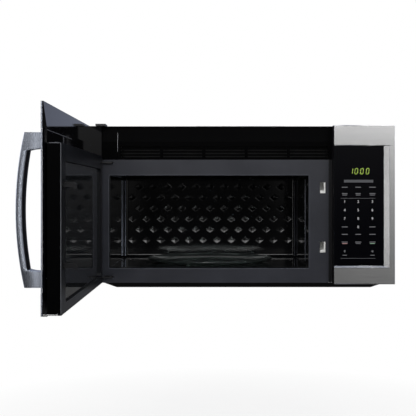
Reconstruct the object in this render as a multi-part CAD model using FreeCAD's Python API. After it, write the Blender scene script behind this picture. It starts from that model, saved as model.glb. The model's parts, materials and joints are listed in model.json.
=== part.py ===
import FreeCAD, Part
import math
import os

# Over-the-range microwave oven, in millimetres.
# X runs to the right, Y into the kitchen wall and Z up.
# The origin is the middle of the back face, where the oven meets the wall.
# The door is drawn shut and then swung open about its hinge pins.

# ---- overall sizes ----
WIDTH = 759.0
CASE_HEIGHT = 402.0
PAN_DEPTH = 15.0
CASE_DEPTH = 378.0
SHEET = 1.0
FIT = 0.3

# ---- grey face frame ----
FACE_SHEET = 1.5
FACE_FLANGE = 12.0
VENT_HEIGHT = 86.0
PANEL_WIDTH = 153.5

# ---- cooking cavity ----
SIDE_CHANNEL = 36.1
UNDER_CAVITY = 40.7
OVER_CAVITY = 126.3
BEHIND_CAVITY = 13.0
FACE_POST = 60.2
PANEL_SEAM = 9.0
SEAM_PROUD = 0.6
CAVITY_CORNER_R = 3.0
CAVITY_REAR_R = 2.5
CAVITY_RIM = 24.0
DIAMOND_PITCH_X = 42.4
DIAMOND_PITCH_Z = 31.9
DIAMOND_HALF_W = 18.0
DIAMOND_HALF_H = 27.0
DIAMOND_DEPTH = 2.6
DIAMOND_COLUMNS = 12
DIAMOND_ROWS = 6
DIAMOND_LIFT = 11.1

# ---- door ----
DOOR_GAP = 1.0
DOOR_THICKNESS = 38.0
DOOR_SIDE_GAP = 2.0
DOOR_SHELL = 11.6
DOOR_SKIN = 1.5
TOP_BAND = 52.0
BOTTOM_BAND = 42.0
BOTTOM_BEVEL = 4.5
SIDE_BAND = 13.6
SIDE_BEVEL = 14.0
GLASS_RECESS = 3.5
GLASS_THICKNESS = 4.0
GLASS_LAP = 2.5
HINGE_INSET = 7.0
HINGE_OUT = 11.0
DOOR_OPEN_ANGLE = 90.0
INNER_TOP_DROP = 77.5
INNER_BOTTOM_RISE = 1.5
INNER_SIDE_INSET = 2.0
INNER_CORNER_R = 4.0
WINDOW_FREE_MARGIN = 50.0
WINDOW_HINGE_MARGIN = 36.0
WINDOW_TOP_MARGIN = 33.0
WINDOW_BOTTOM_MARGIN = 19.0
WINDOW_RECESS = 5.0
WINDOW_THICKNESS = 2.0
WINDOW_CORNER_R = 8.0
CHOKE_WIDTH = 15.0
CHOKE_TOOTH = 8.0
CHOKE_PITCH = 22.0
CHOKE_STANDOFF = 9.0
SCREEN_GAP = 4.0
COVER_LEDGE_DROP = 47.5
COVER_WALL = 1.5

# ---- handle ----
HANDLE_END_GAP = 5.5
HANDLE_WIDTH = 30.0
HANDLE_THICKNESS = 12.5
HANDLE_LINER = 1.5
HANDLE_REACH = 54.0
HANDLE_BOW = 16.4
HANDLE_FREE_INSET = 30.0
HANDLE_FOOT_LENGTH = 31.0
HANDLE_FOOT_INSET = 1.0
SCREW_SHANK_R = 2.4
SCREW_HOLE_R = 2.7
SCREW_HEAD_R = 4.6
SCREW_HEAD_H = 2.4
SCREW_BITE = 12.0

# ---- hinges ----
HINGE_PLATE = 3.0
HINGE_ARM_HALF = 4.0
HINGE_ARM_REACH = 35.0
HINGE_ARM_ROOT = 20.5
HINGE_PIN_R = 3.0
HINGE_PIN_FIT = 0.05
HINGE_PIN_LENGTH = 9.0
HINGE_NOTCH_GAP = 1.2
HINGE_FOOT_HEIGHT = 36.0
UPPER_HINGE_DROP = 93.5
LOWER_HINGE_RISE = 15.0
HINGE_BLOCK_HEIGHT = 10.0
TAB_WIDTH = 25.0
TAB_HEIGHT = 5.0
TAB_LENGTH = 44.0
TAB_OVERHANG = 18.0

# ---- latch ----
HOOK_INSET = 22.0
HOOK_THICKNESS = 5.0
HOOK_HEIGHT = 13.0
HOOK_LENGTH = 26.0
HOOK_LIP = 4.0
LATCH_TRAVEL = 5.0
UPPER_HOOK_DROP = 158.0
LOWER_HOOK_RISE = 91.7
SLOT_WIDTH = 14.0
SLOT_HEIGHT = 28.0
LATCH_BOARD_WIDTH = 30.0
LATCH_BOARD_MARGIN = 14.0
HOOK_ROOM = 8.5
LATCH_BOARD_WALL = 2.0
SWITCH_LENGTH = 28.0
SWITCH_HEIGHT = 16.0
SWITCH_THICKNESS = 10.0
SPRING_R = 3.0
SPRING_WIRE_R = 0.5
SPRING_TURNS = 8
SPRING_LENGTH = 22.0
SPRING_PAD = 2.0
SPRING_SEAT_GAP = 0.2

# ---- vent zone ----
GRILLE_WALL = 2.0
GRILLE_CREASE_DROP = 39.5
GRILLE_LEAN = 8.0
GRILLE_SLOT = 4.0
GRILLE_SLOT_PITCH = 8.0
GRILLE_SLOT_ROWS = 4
GRILLE_BAYS = 5
GRILLE_BAY_RIB = 8.0
GRILLE_END_BLOCK = 54.0
GRILLE_JOINT = 1.2
FILTER_PAD = 10.0
FILTER_PAD_BACK = 14.0
FILTER_PAD_MARGIN = 8.0

# ---- control panel ----
MEMBRANE = 0.8
BOARD_THICKNESS = 1.6
BOARD_MARGIN = 12.0
BOARD_STANDOFF = 14.0
DISPLAY_WIDTH = 74.0
DISPLAY_HEIGHT = 32.0
DISPLAY_DROP = 115.0

# ---- turntable ----
RECESS_CLEARANCE = 6.0
FLOOR_RECESS_DEPTH = 13.2
TRAY_WALL_GAP = 10.0
TRAY_FLARE = 32.5
TRAY_THICKNESS = 4.5
TRAY_RIM_HEIGHT = 13.5
ROLLER_R = 5.7
ROLLER_WIDTH = 7.0
ROLLER_TRACK_INSET = 24.0
ROLLER_COUNT = 3
RING_WIDTH = 8.0
RING_THICKNESS = 4.0
AXLE_R = 1.6
AXLE_FIT = 0.08
COUPLER_R = 14.0
COUPLER_LOBE_R = 5.0
SHAFT_R = 3.5
MOTOR_R = 26.0
MOTOR_HEIGHT = 17.0

# ---- base ----
PAN_SIDE_MARGIN = 18.5
PAN_SLOPE_RUN = 30.0
PAN_FRONT_MARGIN = 4.0
PAN_REAR_MARGIN = 40.0
PAN_SHEET = 1.2
GREASE_WIDTH = 230.0
GREASE_LENGTH = 190.0
GREASE_THICKNESS = 6.0
GREASE_SPACING = 300.0
GREASE_GAP = 0.5
GREASE_FRAME = 10.0
GREASE_COLUMNS = 12
GREASE_ROWS = 10
LENS_WIDTH = 90.0
LENS_LENGTH = 34.0
LENS_LIP = 3.0
LENS_PAN_GAP = 4.0
LENS_FILTER_GAP = 6.0
LENS_SPACING = 300.0
BULB_R = 6.0
BULB_LENGTH = 34.0

# ---- blower and exhaust ----
SCROLL_ROOM = 7.0
SCROLL_SHAVE = 2.0
WHEEL_CLEARANCE = 13.0
WHEEL_RIM = 9.0
WHEEL_WIDTH = 56.0
WHEEL_BLADES = 24
BLADE_THICKNESS = 1.2
SCROLL_GAP = 6.0
SCROLL_WALL = 1.2
INLET_LAP = 2.0
BLOWER_MOTOR_R = 38.0
BLOWER_MOTOR_LENGTH = 84.0
BLOWER_SHAFT_R = 4.0
SHAFT_FIT = 0.08
HUB_THICKNESS = 3.0
DUCT_WIDTH = 254.0
DUCT_DEPTH = 82.5
DUCT_BACK = 21.0
COLLAR_HEIGHT = 22.0
COLLAR_WALL = 1.2
COLLAR_FLANGE = 14.0
FLAP_GAP = 1.0
FLAP_RISE = 5.0
FLAP_THICKNESS = 1.0
FLAP_PIN_R = 1.5
FLAP_PIN_FIT = 0.08

# ---- mounting ----
TOP_BOLT_SPACING = 590.0
TOP_BOLT_BACK = 305.0
TOP_BOLT_HOLE_R = 3.6
HOOK_SLOT_SPACING = 500.0
HOOK_SLOT_WIDTH = 36.0
HOOK_SLOT_HEIGHT = 8.0
HOOK_SLOT_RISE = 45.0
CORD_BACK = 60.0
CORD_FROM_RIGHT = 55.0
BUSHING_R = 11.0
BUSHING_BORE_R = 5.5
BUSHING_LIP = 3.0

# ---- power parts behind the control panel ----
GUIDE_DEPTH = 40.0
GUIDE_LENGTH = 120.0
GUIDE_HEIGHT = 96.0
GUIDE_BACK = 130.0
GUIDE_DROP = 24.9
PORT_MARGIN = 14.0
MICA = 0.8
TUBE_LENGTH = 84.0
TUBE_WIDTH = 90.0
TUBE_HEIGHT = 80.0
TUBE_FINS = 7
ANTENNA_R = 11.0
ANTENNA_LENGTH = 26.0
TRANSFORMER_WIDTH = 100.0
TRANSFORMER_DEPTH = 84.0
TRANSFORMER_HEIGHT = 88.0
TRANSFORMER_BACK = 60.0
TRANSFORMER_SIDE = 40.0
COIL_OVERHANG = 12.0
CAPACITOR_WIDTH = 34.0
CAPACITOR_DEPTH = 54.0
CAPACITOR_HEIGHT = 92.0
CAPACITOR_BACK = 230.0
DIODE_R = 4.0
DIODE_LENGTH = 24.0
COOLER_SIZE = 112.0
COOLER_DEPTH = 26.0
COOLER_BACK = 70.0
COOLER_RISE = 208.0
COOLER_BLADE_R = 48.0
COOLER_BLADES = 5
COOLER_MOTOR_R = 24.0
COOLER_MOTOR_LENGTH = 30.0
CUTOUT_R = 8.0
CUTOUT_HEIGHT = 9.0
LAMP_BOX = 36.0

# ---- planes and places worked out from the sizes ----
LEFT = -WIDTH / 2
RIGHT = WIDTH / 2
TOP = (CASE_HEIGHT + PAN_DEPTH) / 2
FLOOR = TOP - CASE_HEIGHT
PAN_BOTTOM = FLOOR - PAN_DEPTH
FACE_Y = -CASE_DEPTH
FACE_BACK_Y = FACE_Y + FACE_SHEET
VENT_Z = TOP - VENT_HEIGHT
PANEL_X = RIGHT - PANEL_WIDTH
FACE_X1 = PANEL_X - PANEL_SEAM
CAVITY_X0 = LEFT + SIDE_CHANNEL
CAVITY_X1 = PANEL_X - FACE_POST
CAVITY_Z0 = FLOOR + UNDER_CAVITY
CAVITY_Z1 = TOP - OVER_CAVITY
CAVITY_Y1 = -BEHIND_CAVITY
CAVITY_SPLIT_Z = CAVITY_Z0 + CAVITY_CORNER_R
CAVITY_RIM_Y = CAVITY_Y1 - CAVITY_RIM
BAY_X0 = CAVITY_X1 + SHEET
DOOR_BACK_Y = FACE_Y - DOOR_GAP
DOOR_FRONT_Y = DOOR_BACK_Y - DOOR_THICKNESS
DOOR_X1 = PANEL_X - DOOR_SIDE_GAP
GLASS_FRONT_Y = DOOR_FRONT_Y + GLASS_RECESS
GLASS_BACK_Y = GLASS_FRONT_Y + GLASS_THICKNESS
SHELL_BACK_Y = DOOR_FRONT_Y + DOOR_SHELL
GLASS_Z0 = FLOOR + BOTTOM_BAND + BOTTOM_BEVEL
GLASS_Z1 = TOP - TOP_BAND
DOOR_GLASS_X0 = LEFT + SIDE_BAND + SIDE_BEVEL
PANEL_GLASS_X1 = RIGHT - SIDE_BAND - SIDE_BEVEL
PIVOT_X = LEFT + HINGE_INSET
PIVOT_Y = FACE_Y - HINGE_OUT
INNER_Z0 = FLOOR + INNER_BOTTOM_RISE
INNER_Z1 = TOP - INNER_TOP_DROP
INNER_X0 = LEFT + INNER_SIDE_INSET
INNER_X1 = DOOR_X1 - INNER_SIDE_INSET
WINDOW_X0 = LEFT + WINDOW_HINGE_MARGIN
WINDOW_X1 = DOOR_X1 - WINDOW_FREE_MARGIN
WINDOW_Z0 = INNER_Z0 + WINDOW_BOTTOM_MARGIN
WINDOW_Z1 = INNER_Z1 - WINDOW_TOP_MARGIN
HOOK_X = DOOR_X1 - HOOK_INSET
LOWER_HOOK_Z = FLOOR + LOWER_HOOK_RISE
UPPER_HOOK_Z = TOP - UPPER_HOOK_DROP
HOOK_LEVELS = [LOWER_HOOK_Z, UPPER_HOOK_Z]
HINGE_LEVELS = [FLOOR + LOWER_HINGE_RISE, TOP - UPPER_HINGE_DROP]
HANDLE_Z0 = GLASS_Z0 + HANDLE_END_GAP
HANDLE_Z1 = GLASS_Z1 - HANDLE_END_GAP
LATCH_BOARD_Y1 = DOOR_BACK_Y + HOOK_LENGTH + HOOK_ROOM + LATCH_BOARD_WALL
PAN_FLAT_Y = FACE_Y + PAN_FRONT_MARGIN + PAN_SLOPE_RUN + 2 * PAN_SHEET
LENS_Y = PAN_FLAT_Y + LENS_PAN_GAP + LENS_LIP + LENS_LENGTH / 2
GREASE_Y = LENS_Y + LENS_LENGTH / 2 + LENS_FILTER_GAP + GREASE_LENGTH / 2
TABLE_X = (CAVITY_X0 + CAVITY_X1) / 2
TABLE_Y = (FACE_Y + CAVITY_Y1) / 2
TRAY_R = (CAVITY_Y1 - FACE_Y) / 2 - TRAY_WALL_GAP
TRAY_BASE_R = TRAY_R - TRAY_FLARE
ROLLER_TRACK_R = TRAY_BASE_R - ROLLER_TRACK_INSET
RECESS_Z = CAVITY_Z0 - FLOOR_RECESS_DEPTH
FLOOR_RECESS_R = TRAY_BASE_R + RECESS_CLEARANCE
TRAY_Z = RECESS_Z + 2 * ROLLER_R + 2 * FIT
AXLE_Z = RECESS_Z + FIT + ROLLER_R
RING_OUTER_R = ROLLER_TRACK_R - ROLLER_WIDTH / 2 - FIT
BLOWER_X = 0.0
BLOWER_Z = (CAVITY_Z1 + TOP) / 2
SCROLL_R = (TOP - CAVITY_Z1) / 2 - SHEET - SCROLL_ROOM
WHEEL_R = SCROLL_R - WHEEL_CLEARANCE
WHEEL_BORE_R = WHEEL_R - WHEEL_RIM
INLET_R = WHEEL_BORE_R + INLET_LAP
WHEEL_IN = BLOWER_MOTOR_LENGTH / 2 + SCROLL_GAP
WHEEL_OUT = WHEEL_IN + WHEEL_WIDTH
DUCT_Y1 = -DUCT_BACK
DUCT_Y0 = DUCT_Y1 - DUCT_DEPTH
BLOWER_Y = DUCT_Y1 - SCROLL_R + SCROLL_SHAVE
FLAP_Z = TOP + SHEET + FLAP_RISE
GUIDE_Y1 = -GUIDE_BACK
GUIDE_Y0 = GUIDE_Y1 - GUIDE_LENGTH
GUIDE_Z1 = CAVITY_Z1 - GUIDE_DROP
GUIDE_Z0 = GUIDE_Z1 - GUIDE_HEIGHT
TUBE_X0 = BAY_X0 + GUIDE_DEPTH
TUBE_Y = (GUIDE_Y0 + GUIDE_Y1) / 2
TUBE_Z = (GUIDE_Z0 + GUIDE_Z1) / 2
COOLER_X = RIGHT - SHEET - FIT - COOLER_SIZE / 2 - 12.0
COOLER_Z = FLOOR + COOLER_RISE
COOLER_Y1 = -COOLER_BACK


# ---- building blocks ----
def point(x, y, z):
    return FreeCAD.Vector(x, y, z)


def box(x0, x1, y0, y1, z0, z1):
    """Block between two corners."""
    return Part.makeBox(x1 - x0, y1 - y0, z1 - z0, point(x0, y0, z0))


def rod(start, direction, radius, length):
    """Round bar from a start point along a direction."""
    return Part.makeCylinder(radius, length, start, direction)


def along_x(x0, x1, y, z, radius):
    return rod(point(x0, y, z), point(1, 0, 0), radius, x1 - x0)


def along_y(x, y0, y1, z, radius):
    return rod(point(x, y0, z), point(0, 1, 0), radius, y1 - y0)


def along_z(x, y, z0, z1, radius):
    return rod(point(x, y, z0), point(0, 0, 1), radius, z1 - z0)


def polygon_prism(points, direction):
    """Solid swept from a closed outline along a direction."""
    face = Part.Face(Part.makePolygon(points + [points[0]]))
    return face.extrude(direction)


def rounded_block_y(x0, x1, y0, y1, z0, z1, radius):
    """Block with its four edges along Y rounded."""
    solid = box(x0, x1, y0, y1, z0, z1)
    edges = [e for e in solid.Edges if abs(e.tangentAt(e.FirstParameter).y) > 0.9]
    return solid.makeFillet(radius, edges)


def cut_all(solid, tools):
    for tool in tools:
        solid = solid.cut(tool)
    return solid


def join_all(solids):
    result = solids[0]
    for solid in solids[1:]:
        result = result.fuse(solid)
    return result


def group(solids):
    return Part.makeCompound(solids)


def swung_open(shape):
    """The door's pieces, turned from shut to the open rest pose."""
    turned = shape.copy()
    turned.rotate(point(PIVOT_X, PIVOT_Y, 0), point(0, 0, 1), -DOOR_OPEN_ANGLE)
    return turned


# ---- case ----
def duct_opening(margin, z0, z1):
    """The rectangular exhaust passage, wider by a margin on each side."""
    half = DUCT_WIDTH / 2 + margin
    return box(BLOWER_X - half, BLOWER_X + half, DUCT_Y0 - margin, DUCT_Y1 + margin, z0, z1)


def cord_x():
    return RIGHT - CORD_FROM_RIGHT


def outer_cabinet():
    """Folded sheet that wraps the left side, the top and the right side."""
    outer = box(LEFT, RIGHT, FACE_BACK_Y, -SHEET, FLOOR, TOP)
    inner = box(LEFT + SHEET, RIGHT - SHEET, FACE_BACK_Y, -SHEET, FLOOR, TOP - SHEET)
    shell = outer.cut(inner)
    tools = [duct_opening(-COLLAR_WALL, TOP - SHEET, TOP)]
    for side in [-1, 1]:
        x = side * TOP_BOLT_SPACING / 2
        tools.append(along_z(x, -TOP_BOLT_BACK, TOP - SHEET, TOP, TOP_BOLT_HOLE_R))
    tools.append(along_z(cord_x(), -CORD_BACK, TOP - SHEET, TOP, BUSHING_R))
    return cut_all(shell, tools)


def back_panel():
    """Flat back sheet with two slots that hang on the wall plate's hooks."""
    panel = box(LEFT, RIGHT, -SHEET, 0, FLOOR, TOP)
    z0 = FLOOR + HOOK_SLOT_RISE
    tools = []
    for side in [-1, 1]:
        x = side * HOOK_SLOT_SPACING / 2
        half = HOOK_SLOT_WIDTH / 2
        tools.append(box(x - half, x + half, -SHEET, 0, z0, z0 + HOOK_SLOT_HEIGHT))
    return cut_all(panel, tools)


def grease_centres():
    return [-GREASE_SPACING / 2, GREASE_SPACING / 2]


def lens_centres():
    return [-LENS_SPACING / 2, LENS_SPACING / 2]


def grease_block(x, margin, z0, z1):
    """Block on a grease filter's outline, wider by a margin on each side."""
    half = GREASE_WIDTH / 2 + margin
    length = GREASE_LENGTH / 2 + margin
    return box(x - half, x + half, GREASE_Y - length, GREASE_Y + length, z0, z1)


def lens_block(x, margin, z0, z1):
    """Block on a lamp lens's outline, wider by a margin on each side."""
    half = LENS_WIDTH / 2 + margin
    length = LENS_LENGTH / 2 + margin
    return box(x - half, x + half, LENS_Y - length, LENS_Y + length, z0, z1)


def base_openings(grease_margin, lens_margin, z0, z1):
    """Passages through the floor sheet or the pan for filters and lamps."""
    tools = [grease_block(x, grease_margin, z0, z1) for x in grease_centres()]
    tools += [lens_block(x, lens_margin, z0, z1) for x in lens_centres()]
    return tools


def chassis_floor():
    """Structural sheet above the pan, open over the filters and the lamps."""
    x0 = LEFT + SHEET
    x1 = RIGHT - SHEET
    sheet = box(x0, x1, FACE_BACK_Y, -SHEET, FLOOR, FLOOR + SHEET)
    return cut_all(sheet, base_openings(-GREASE_FRAME, -GREASE_FRAME, FLOOR, FLOOR + SHEET))


def pan_outline(shrink, z, run):
    """Rectangle of the pan at one height, as a closed wire."""
    x = RIGHT - PAN_SIDE_MARGIN - run - shrink
    y0 = FACE_Y + PAN_FRONT_MARGIN + run + shrink
    y1 = -PAN_REAR_MARGIN - shrink
    corners = [point(-x, y0, z), point(x, y0, z), point(x, y1, z), point(-x, y1, z)]
    return Part.makePolygon(corners + [corners[0]])


def base_pan():
    """Painted pan under the case, with sloping sides and front."""
    outer = Part.makeLoft(
        [pan_outline(0, FLOOR, 0), pan_outline(0, PAN_BOTTOM, PAN_SLOPE_RUN)], True, True
    )
    inner_run = PAN_SLOPE_RUN * (PAN_DEPTH - PAN_SHEET) / PAN_DEPTH
    inner = Part.makeLoft(
        [
            pan_outline(2 * PAN_SHEET, FLOOR, 0),
            pan_outline(2 * PAN_SHEET, PAN_BOTTOM + PAN_SHEET, inner_run),
        ],
        True,
        True,
    )
    shell = outer.cut(inner)
    return cut_all(shell, base_openings(GREASE_GAP, FIT, PAN_BOTTOM, PAN_BOTTOM + PAN_SHEET))


def grease_filter(x):
    """Removable mesh filter in a folded frame."""
    y = GREASE_Y
    z0 = PAN_BOTTOM
    z1 = z0 + GREASE_THICKNESS
    mesh = SHEET
    frame = grease_block(x, 0, z0, z1).cut(grease_block(x, -GREASE_FRAME, z0 + mesh, z1))
    inner_x = GREASE_WIDTH / 2 - GREASE_FRAME
    inner_y = GREASE_LENGTH / 2 - GREASE_FRAME
    step_x = 2 * inner_x / GREASE_COLUMNS
    step_y = 2 * inner_y / GREASE_ROWS
    holes = []
    for column in range(GREASE_COLUMNS):
        for row in range(GREASE_ROWS):
            hx = x - inner_x + (column + 0.5) * step_x
            hy = y - inner_y + (row + 0.5) * step_y
            holes.append(
                box(
                    hx - step_x / 3, hx + step_x / 3, hy - step_y / 3, hy + step_y / 3,
                    z0, z0 + mesh,
                )
            )
    return frame.cut(group(holes))


def cooktop_lenses():
    """Clear lenses let into the pan over the cooktop, each held by its lip."""
    lenses = []
    seat = PAN_BOTTOM + PAN_SHEET
    for x in lens_centres():
        plug = lens_block(x, 0, PAN_BOTTOM, seat)
        lip = lens_block(x, LENS_LIP, seat, seat + PAN_SHEET)
        lenses.append(plug.fuse(lip))
    return group(lenses)


def cooktop_lamps():
    """Lamp holders hung from the floor sheet, each with a tubular bulb."""
    lamps = []
    for x in lens_centres():
        y = LENS_Y
        z = FLOOR
        holder_half = LENS_WIDTH / 2 - GREASE_FRAME
        holder = box(
            x - holder_half, x - holder_half + GREASE_FRAME, y - BULB_R, y + BULB_R,
            z + SHEET - 2 * BULB_R, z + SHEET,
        )
        start = x - holder_half + GREASE_FRAME
        bulb = along_x(start, start + BULB_LENGTH, y, z + SHEET - BULB_R, BULB_R - SHEET)
        bridge = box(
            x - LENS_WIDTH / 2, x - holder_half + GREASE_FRAME, y - BULB_R, y + BULB_R,
            z + SHEET, z + 2 * SHEET,
        )
        lamps.append(holder.fuse(bridge))
        lamps.append(bulb)
    return group(lamps)


# ---- face ----
def latch_slot(z, y0, y1):
    """Passage for one latch hook through the face sheet."""
    half_w = SLOT_WIDTH / 2
    half_h = SLOT_HEIGHT / 2
    return box(HOOK_X - half_w, HOOK_X + half_w, y0, y1, z - half_h, z + half_h)


def hinge_arm_x():
    """Span of the hinge arm where it passes through the face."""
    x1 = PIVOT_X + HINGE_ARM_REACH
    return x1 - HINGE_ARM_ROOT, x1


def face_frame():
    """Grey front sheet round the cavity, with its latch post welded in."""
    plate = box(LEFT, FACE_X1, FACE_Y, FACE_BACK_Y, FLOOR, VENT_Z)
    flange_y = FACE_BACK_Y + FACE_FLANGE
    x0 = LEFT + SHEET
    top = box(x0, FACE_X1, FACE_BACK_Y, flange_y, VENT_Z - SHEET, VENT_Z)
    opening = rounded_block_y(
        CAVITY_X0, CAVITY_X1, FACE_Y, FACE_BACK_Y, CAVITY_Z0, CAVITY_Z1, CAVITY_CORNER_R
    )
    tools = [opening]
    for z in HOOK_LEVELS:
        tools.append(latch_slot(z, FACE_Y, FACE_BACK_Y))
    arm_x0, arm_x1 = hinge_arm_x()
    for z in HINGE_LEVELS:
        half = HINGE_PLATE / 2 + HINGE_NOTCH_GAP
        tools.append(
            box(
                arm_x0 - FIT, arm_x1 + FIT + HINGE_NOTCH_GAP, FACE_Y, FACE_BACK_Y,
                z - half, z + half,
            )
        )
    frame = cut_all(plate.fuse(top), tools)
    post = box(CAVITY_X1, FACE_X1, FACE_Y, FACE_BACK_Y, CAVITY_Z0, CAVITY_Z1)
    return group([frame.cut(post), frame.common(post)])


def cavity_tube():
    """The cavity's four walls as one tube, before it is parted."""
    outer = rounded_block_y(
        CAVITY_X0 - SHEET, CAVITY_X1 + SHEET, FACE_BACK_Y, CAVITY_RIM_Y,
        CAVITY_Z0 - SHEET, CAVITY_Z1 + SHEET, CAVITY_CORNER_R + SHEET,
    )
    inner = rounded_block_y(
        CAVITY_X0, CAVITY_X1, FACE_BACK_Y, CAVITY_RIM_Y, CAVITY_Z0, CAVITY_Z1,
        CAVITY_CORNER_R,
    )
    return outer.cut(inner)


def cavity_liner():
    """Folded sheet of the cavity's sides and roof, with the microwave port."""
    upper = box(LEFT, RIGHT, FACE_Y, 0, CAVITY_SPLIT_Z, TOP)
    port = box(
        CAVITY_X1, CAVITY_X1 + SHEET, GUIDE_Y0 + PORT_MARGIN, GUIDE_Y1 - PORT_MARGIN,
        GUIDE_Z0 + PORT_MARGIN, GUIDE_Z1 - PORT_MARGIN,
    )
    return cavity_tube().common(upper).cut(port)


def cavity_floor():
    """Cavity floor with turned-up sides and the round recess for the rollers."""
    lower = box(LEFT, RIGHT, FACE_Y, 0, FLOOR, CAVITY_SPLIT_Z)
    dish = along_z(
        TABLE_X, TABLE_Y, RECESS_Z - SHEET, CAVITY_Z0 - SHEET / 2, FLOOR_RECESS_R + SHEET
    )
    well = along_z(TABLE_X, TABLE_Y, RECESS_Z, CAVITY_Z0 + SHEET, FLOOR_RECESS_R)
    shaft = along_z(TABLE_X, TABLE_Y, RECESS_Z - SHEET, RECESS_Z, SHAFT_R + 2 * FIT)
    return cut_all(cavity_tube().common(lower).fuse(dish), [well, shaft])


def diamond_pyramid(x, y, z):
    """Low four-sided pyramid that points away from the cavity, based at y."""
    tip = point(x, y + DIAMOND_DEPTH, z)
    corners = [
        point(x - DIAMOND_HALF_W, y, z),
        point(x, y, z - DIAMOND_HALF_H),
        point(x + DIAMOND_HALF_W, y, z),
        point(x, y, z + DIAMOND_HALF_H),
    ]
    faces = [Part.Face(Part.makePolygon(corners + [corners[0]]))]
    for i in range(4):
        j = (i + 1) % 4
        faces.append(Part.Face(Part.makePolygon([corners[i], corners[j], tip, corners[i]])))
    solid = Part.Solid(Part.Shell(faces))
    if solid.Volume < 0:
        solid.reverse()
    return solid


def cavity_rear_wall():
    """Rear pan of the cavity with rows of staggered diamonds pressed outwards."""
    outer = rounded_block_y(
        CAVITY_X0 - SHEET, CAVITY_X1 + SHEET, CAVITY_RIM_Y, CAVITY_Y1 + SHEET,
        CAVITY_Z0 - SHEET, CAVITY_Z1 + SHEET, CAVITY_CORNER_R + SHEET,
    )
    inner = rounded_block_y(
        CAVITY_X0, CAVITY_X1, CAVITY_RIM_Y, CAVITY_Y1, CAVITY_Z0, CAVITY_Z1, CAVITY_CORNER_R
    )
    rear = [e for e in inner.Edges if e.BoundBox.YMin > CAVITY_Y1 - 0.01]
    inner = inner.makeFillet(CAVITY_REAR_R, rear)
    pan = outer.cut(inner)
    middle_z = (CAVITY_Z0 + CAVITY_Z1) / 2 + DIAMOND_LIFT
    studs = []
    hollows = []
    for row in range(DIAMOND_ROWS):
        z = middle_z + (row - (DIAMOND_ROWS - 1) / 2) * DIAMOND_PITCH_Z
        count = DIAMOND_COLUMNS - row % 2
        for column in range(count):
            x = TABLE_X + (column - (count - 1) / 2) * DIAMOND_PITCH_X
            studs.append(diamond_pyramid(x, CAVITY_Y1 + SHEET, z))
            hollows.append(diamond_pyramid(x, CAVITY_Y1, z))
    return pan.multiFuse(studs).cut(group(hollows))


# ---- vent ----
def vent_profile(back):
    """Section of the vent front: upright below, leaning back above."""
    crease = TOP - GRILLE_CREASE_DROP
    return [
        (FACE_Y + back, VENT_Z + FIT),
        (FACE_Y + back, crease),
        (FACE_Y + back + GRILLE_LEAN, TOP - SHEET - FIT),
    ]


def vent_block(x0, x1):
    """Wall of the vent front between two ends, with a shelf at top and foot."""
    front = vent_profile(0)
    rear = vent_profile(GRILLE_WALL)
    rear.reverse()
    outline = [point(x0, y, z) for y, z in front + rear]
    wall = polygon_prism(outline, point(x1 - x0, 0, 0))
    y1 = FACE_Y + FACE_FLANGE
    foot = box(x0, x1, FACE_Y, y1, VENT_Z + FIT, VENT_Z + FIT + GRILLE_WALL)
    top_z = TOP - SHEET - FIT
    roof = box(x0, x1, FACE_Y + GRILLE_LEAN, y1 + GRILLE_LEAN, top_z - GRILLE_WALL, top_z)
    return join_all([wall, foot, roof])


def vent_grille():
    """Black plastic vent front with rows of narrow slots."""
    x0 = LEFT + GRILLE_END_BLOCK + GRILLE_JOINT
    x1 = PANEL_X
    solid = vent_block(x0, x1)
    bay = (x1 - x0 - GRILLE_BAY_RIB) / GRILLE_BAYS
    tools = []
    for column in range(GRILLE_BAYS):
        sx0 = x0 + GRILLE_BAY_RIB + column * bay
        sx1 = sx0 + bay - GRILLE_BAY_RIB
        for row in range(GRILLE_SLOT_ROWS):
            z = VENT_Z + GRILLE_SLOT_PITCH * (row + 0.75)
            tools.append(box(sx0, sx1, FACE_Y, FACE_Y + GRILLE_WALL, z, z + GRILLE_SLOT))
    return solid.cut(group(tools))


def grille_end_block():
    """Plain block that ends the vent front beside the door hinge."""
    return vent_block(LEFT + SHEET + FIT, LEFT + GRILLE_END_BLOCK)


def charcoal_filter():
    """Filter pad in a card frame, upright behind the grille."""
    x0 = LEFT + GRILLE_END_BLOCK + FILTER_PAD_MARGIN
    x1 = PANEL_X - FILTER_PAD_MARGIN
    y0 = FACE_Y + FILTER_PAD_BACK + GRILLE_LEAN
    z0 = VENT_Z + FIT
    z1 = TOP - SHEET - FIT
    pad = box(x0, x1, y0, y0 + FILTER_PAD, z0, z1)
    rim = FILTER_PAD_MARGIN
    pocket = FILTER_PAD / 4
    front = box(x0 + rim, x1 - rim, y0, y0 + pocket, z0 + rim, z1 - rim)
    back_y = y0 + FILTER_PAD
    back = box(x0 + rim, x1 - rim, back_y - pocket, back_y, z0 + rim, z1 - rim)
    shelf = box(x0, x1, FACE_BACK_Y + FACE_FLANGE, back_y, z0 - FIT - SHEET, z0 - FIT)
    return cut_all(pad, [front, back]).fuse(shelf.fuse(
        box(x0, x1, y0, back_y, z0 - FIT - SHEET, z0)
    ))


def top_hinge_tab():
    """Small black plate over the top corner above the door's hinge side."""
    y0 = FACE_Y - TAB_OVERHANG
    return box(LEFT, LEFT + TAB_WIDTH, y0, y0 + TAB_LENGTH, TOP, TOP + TAB_HEIGHT)


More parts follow.
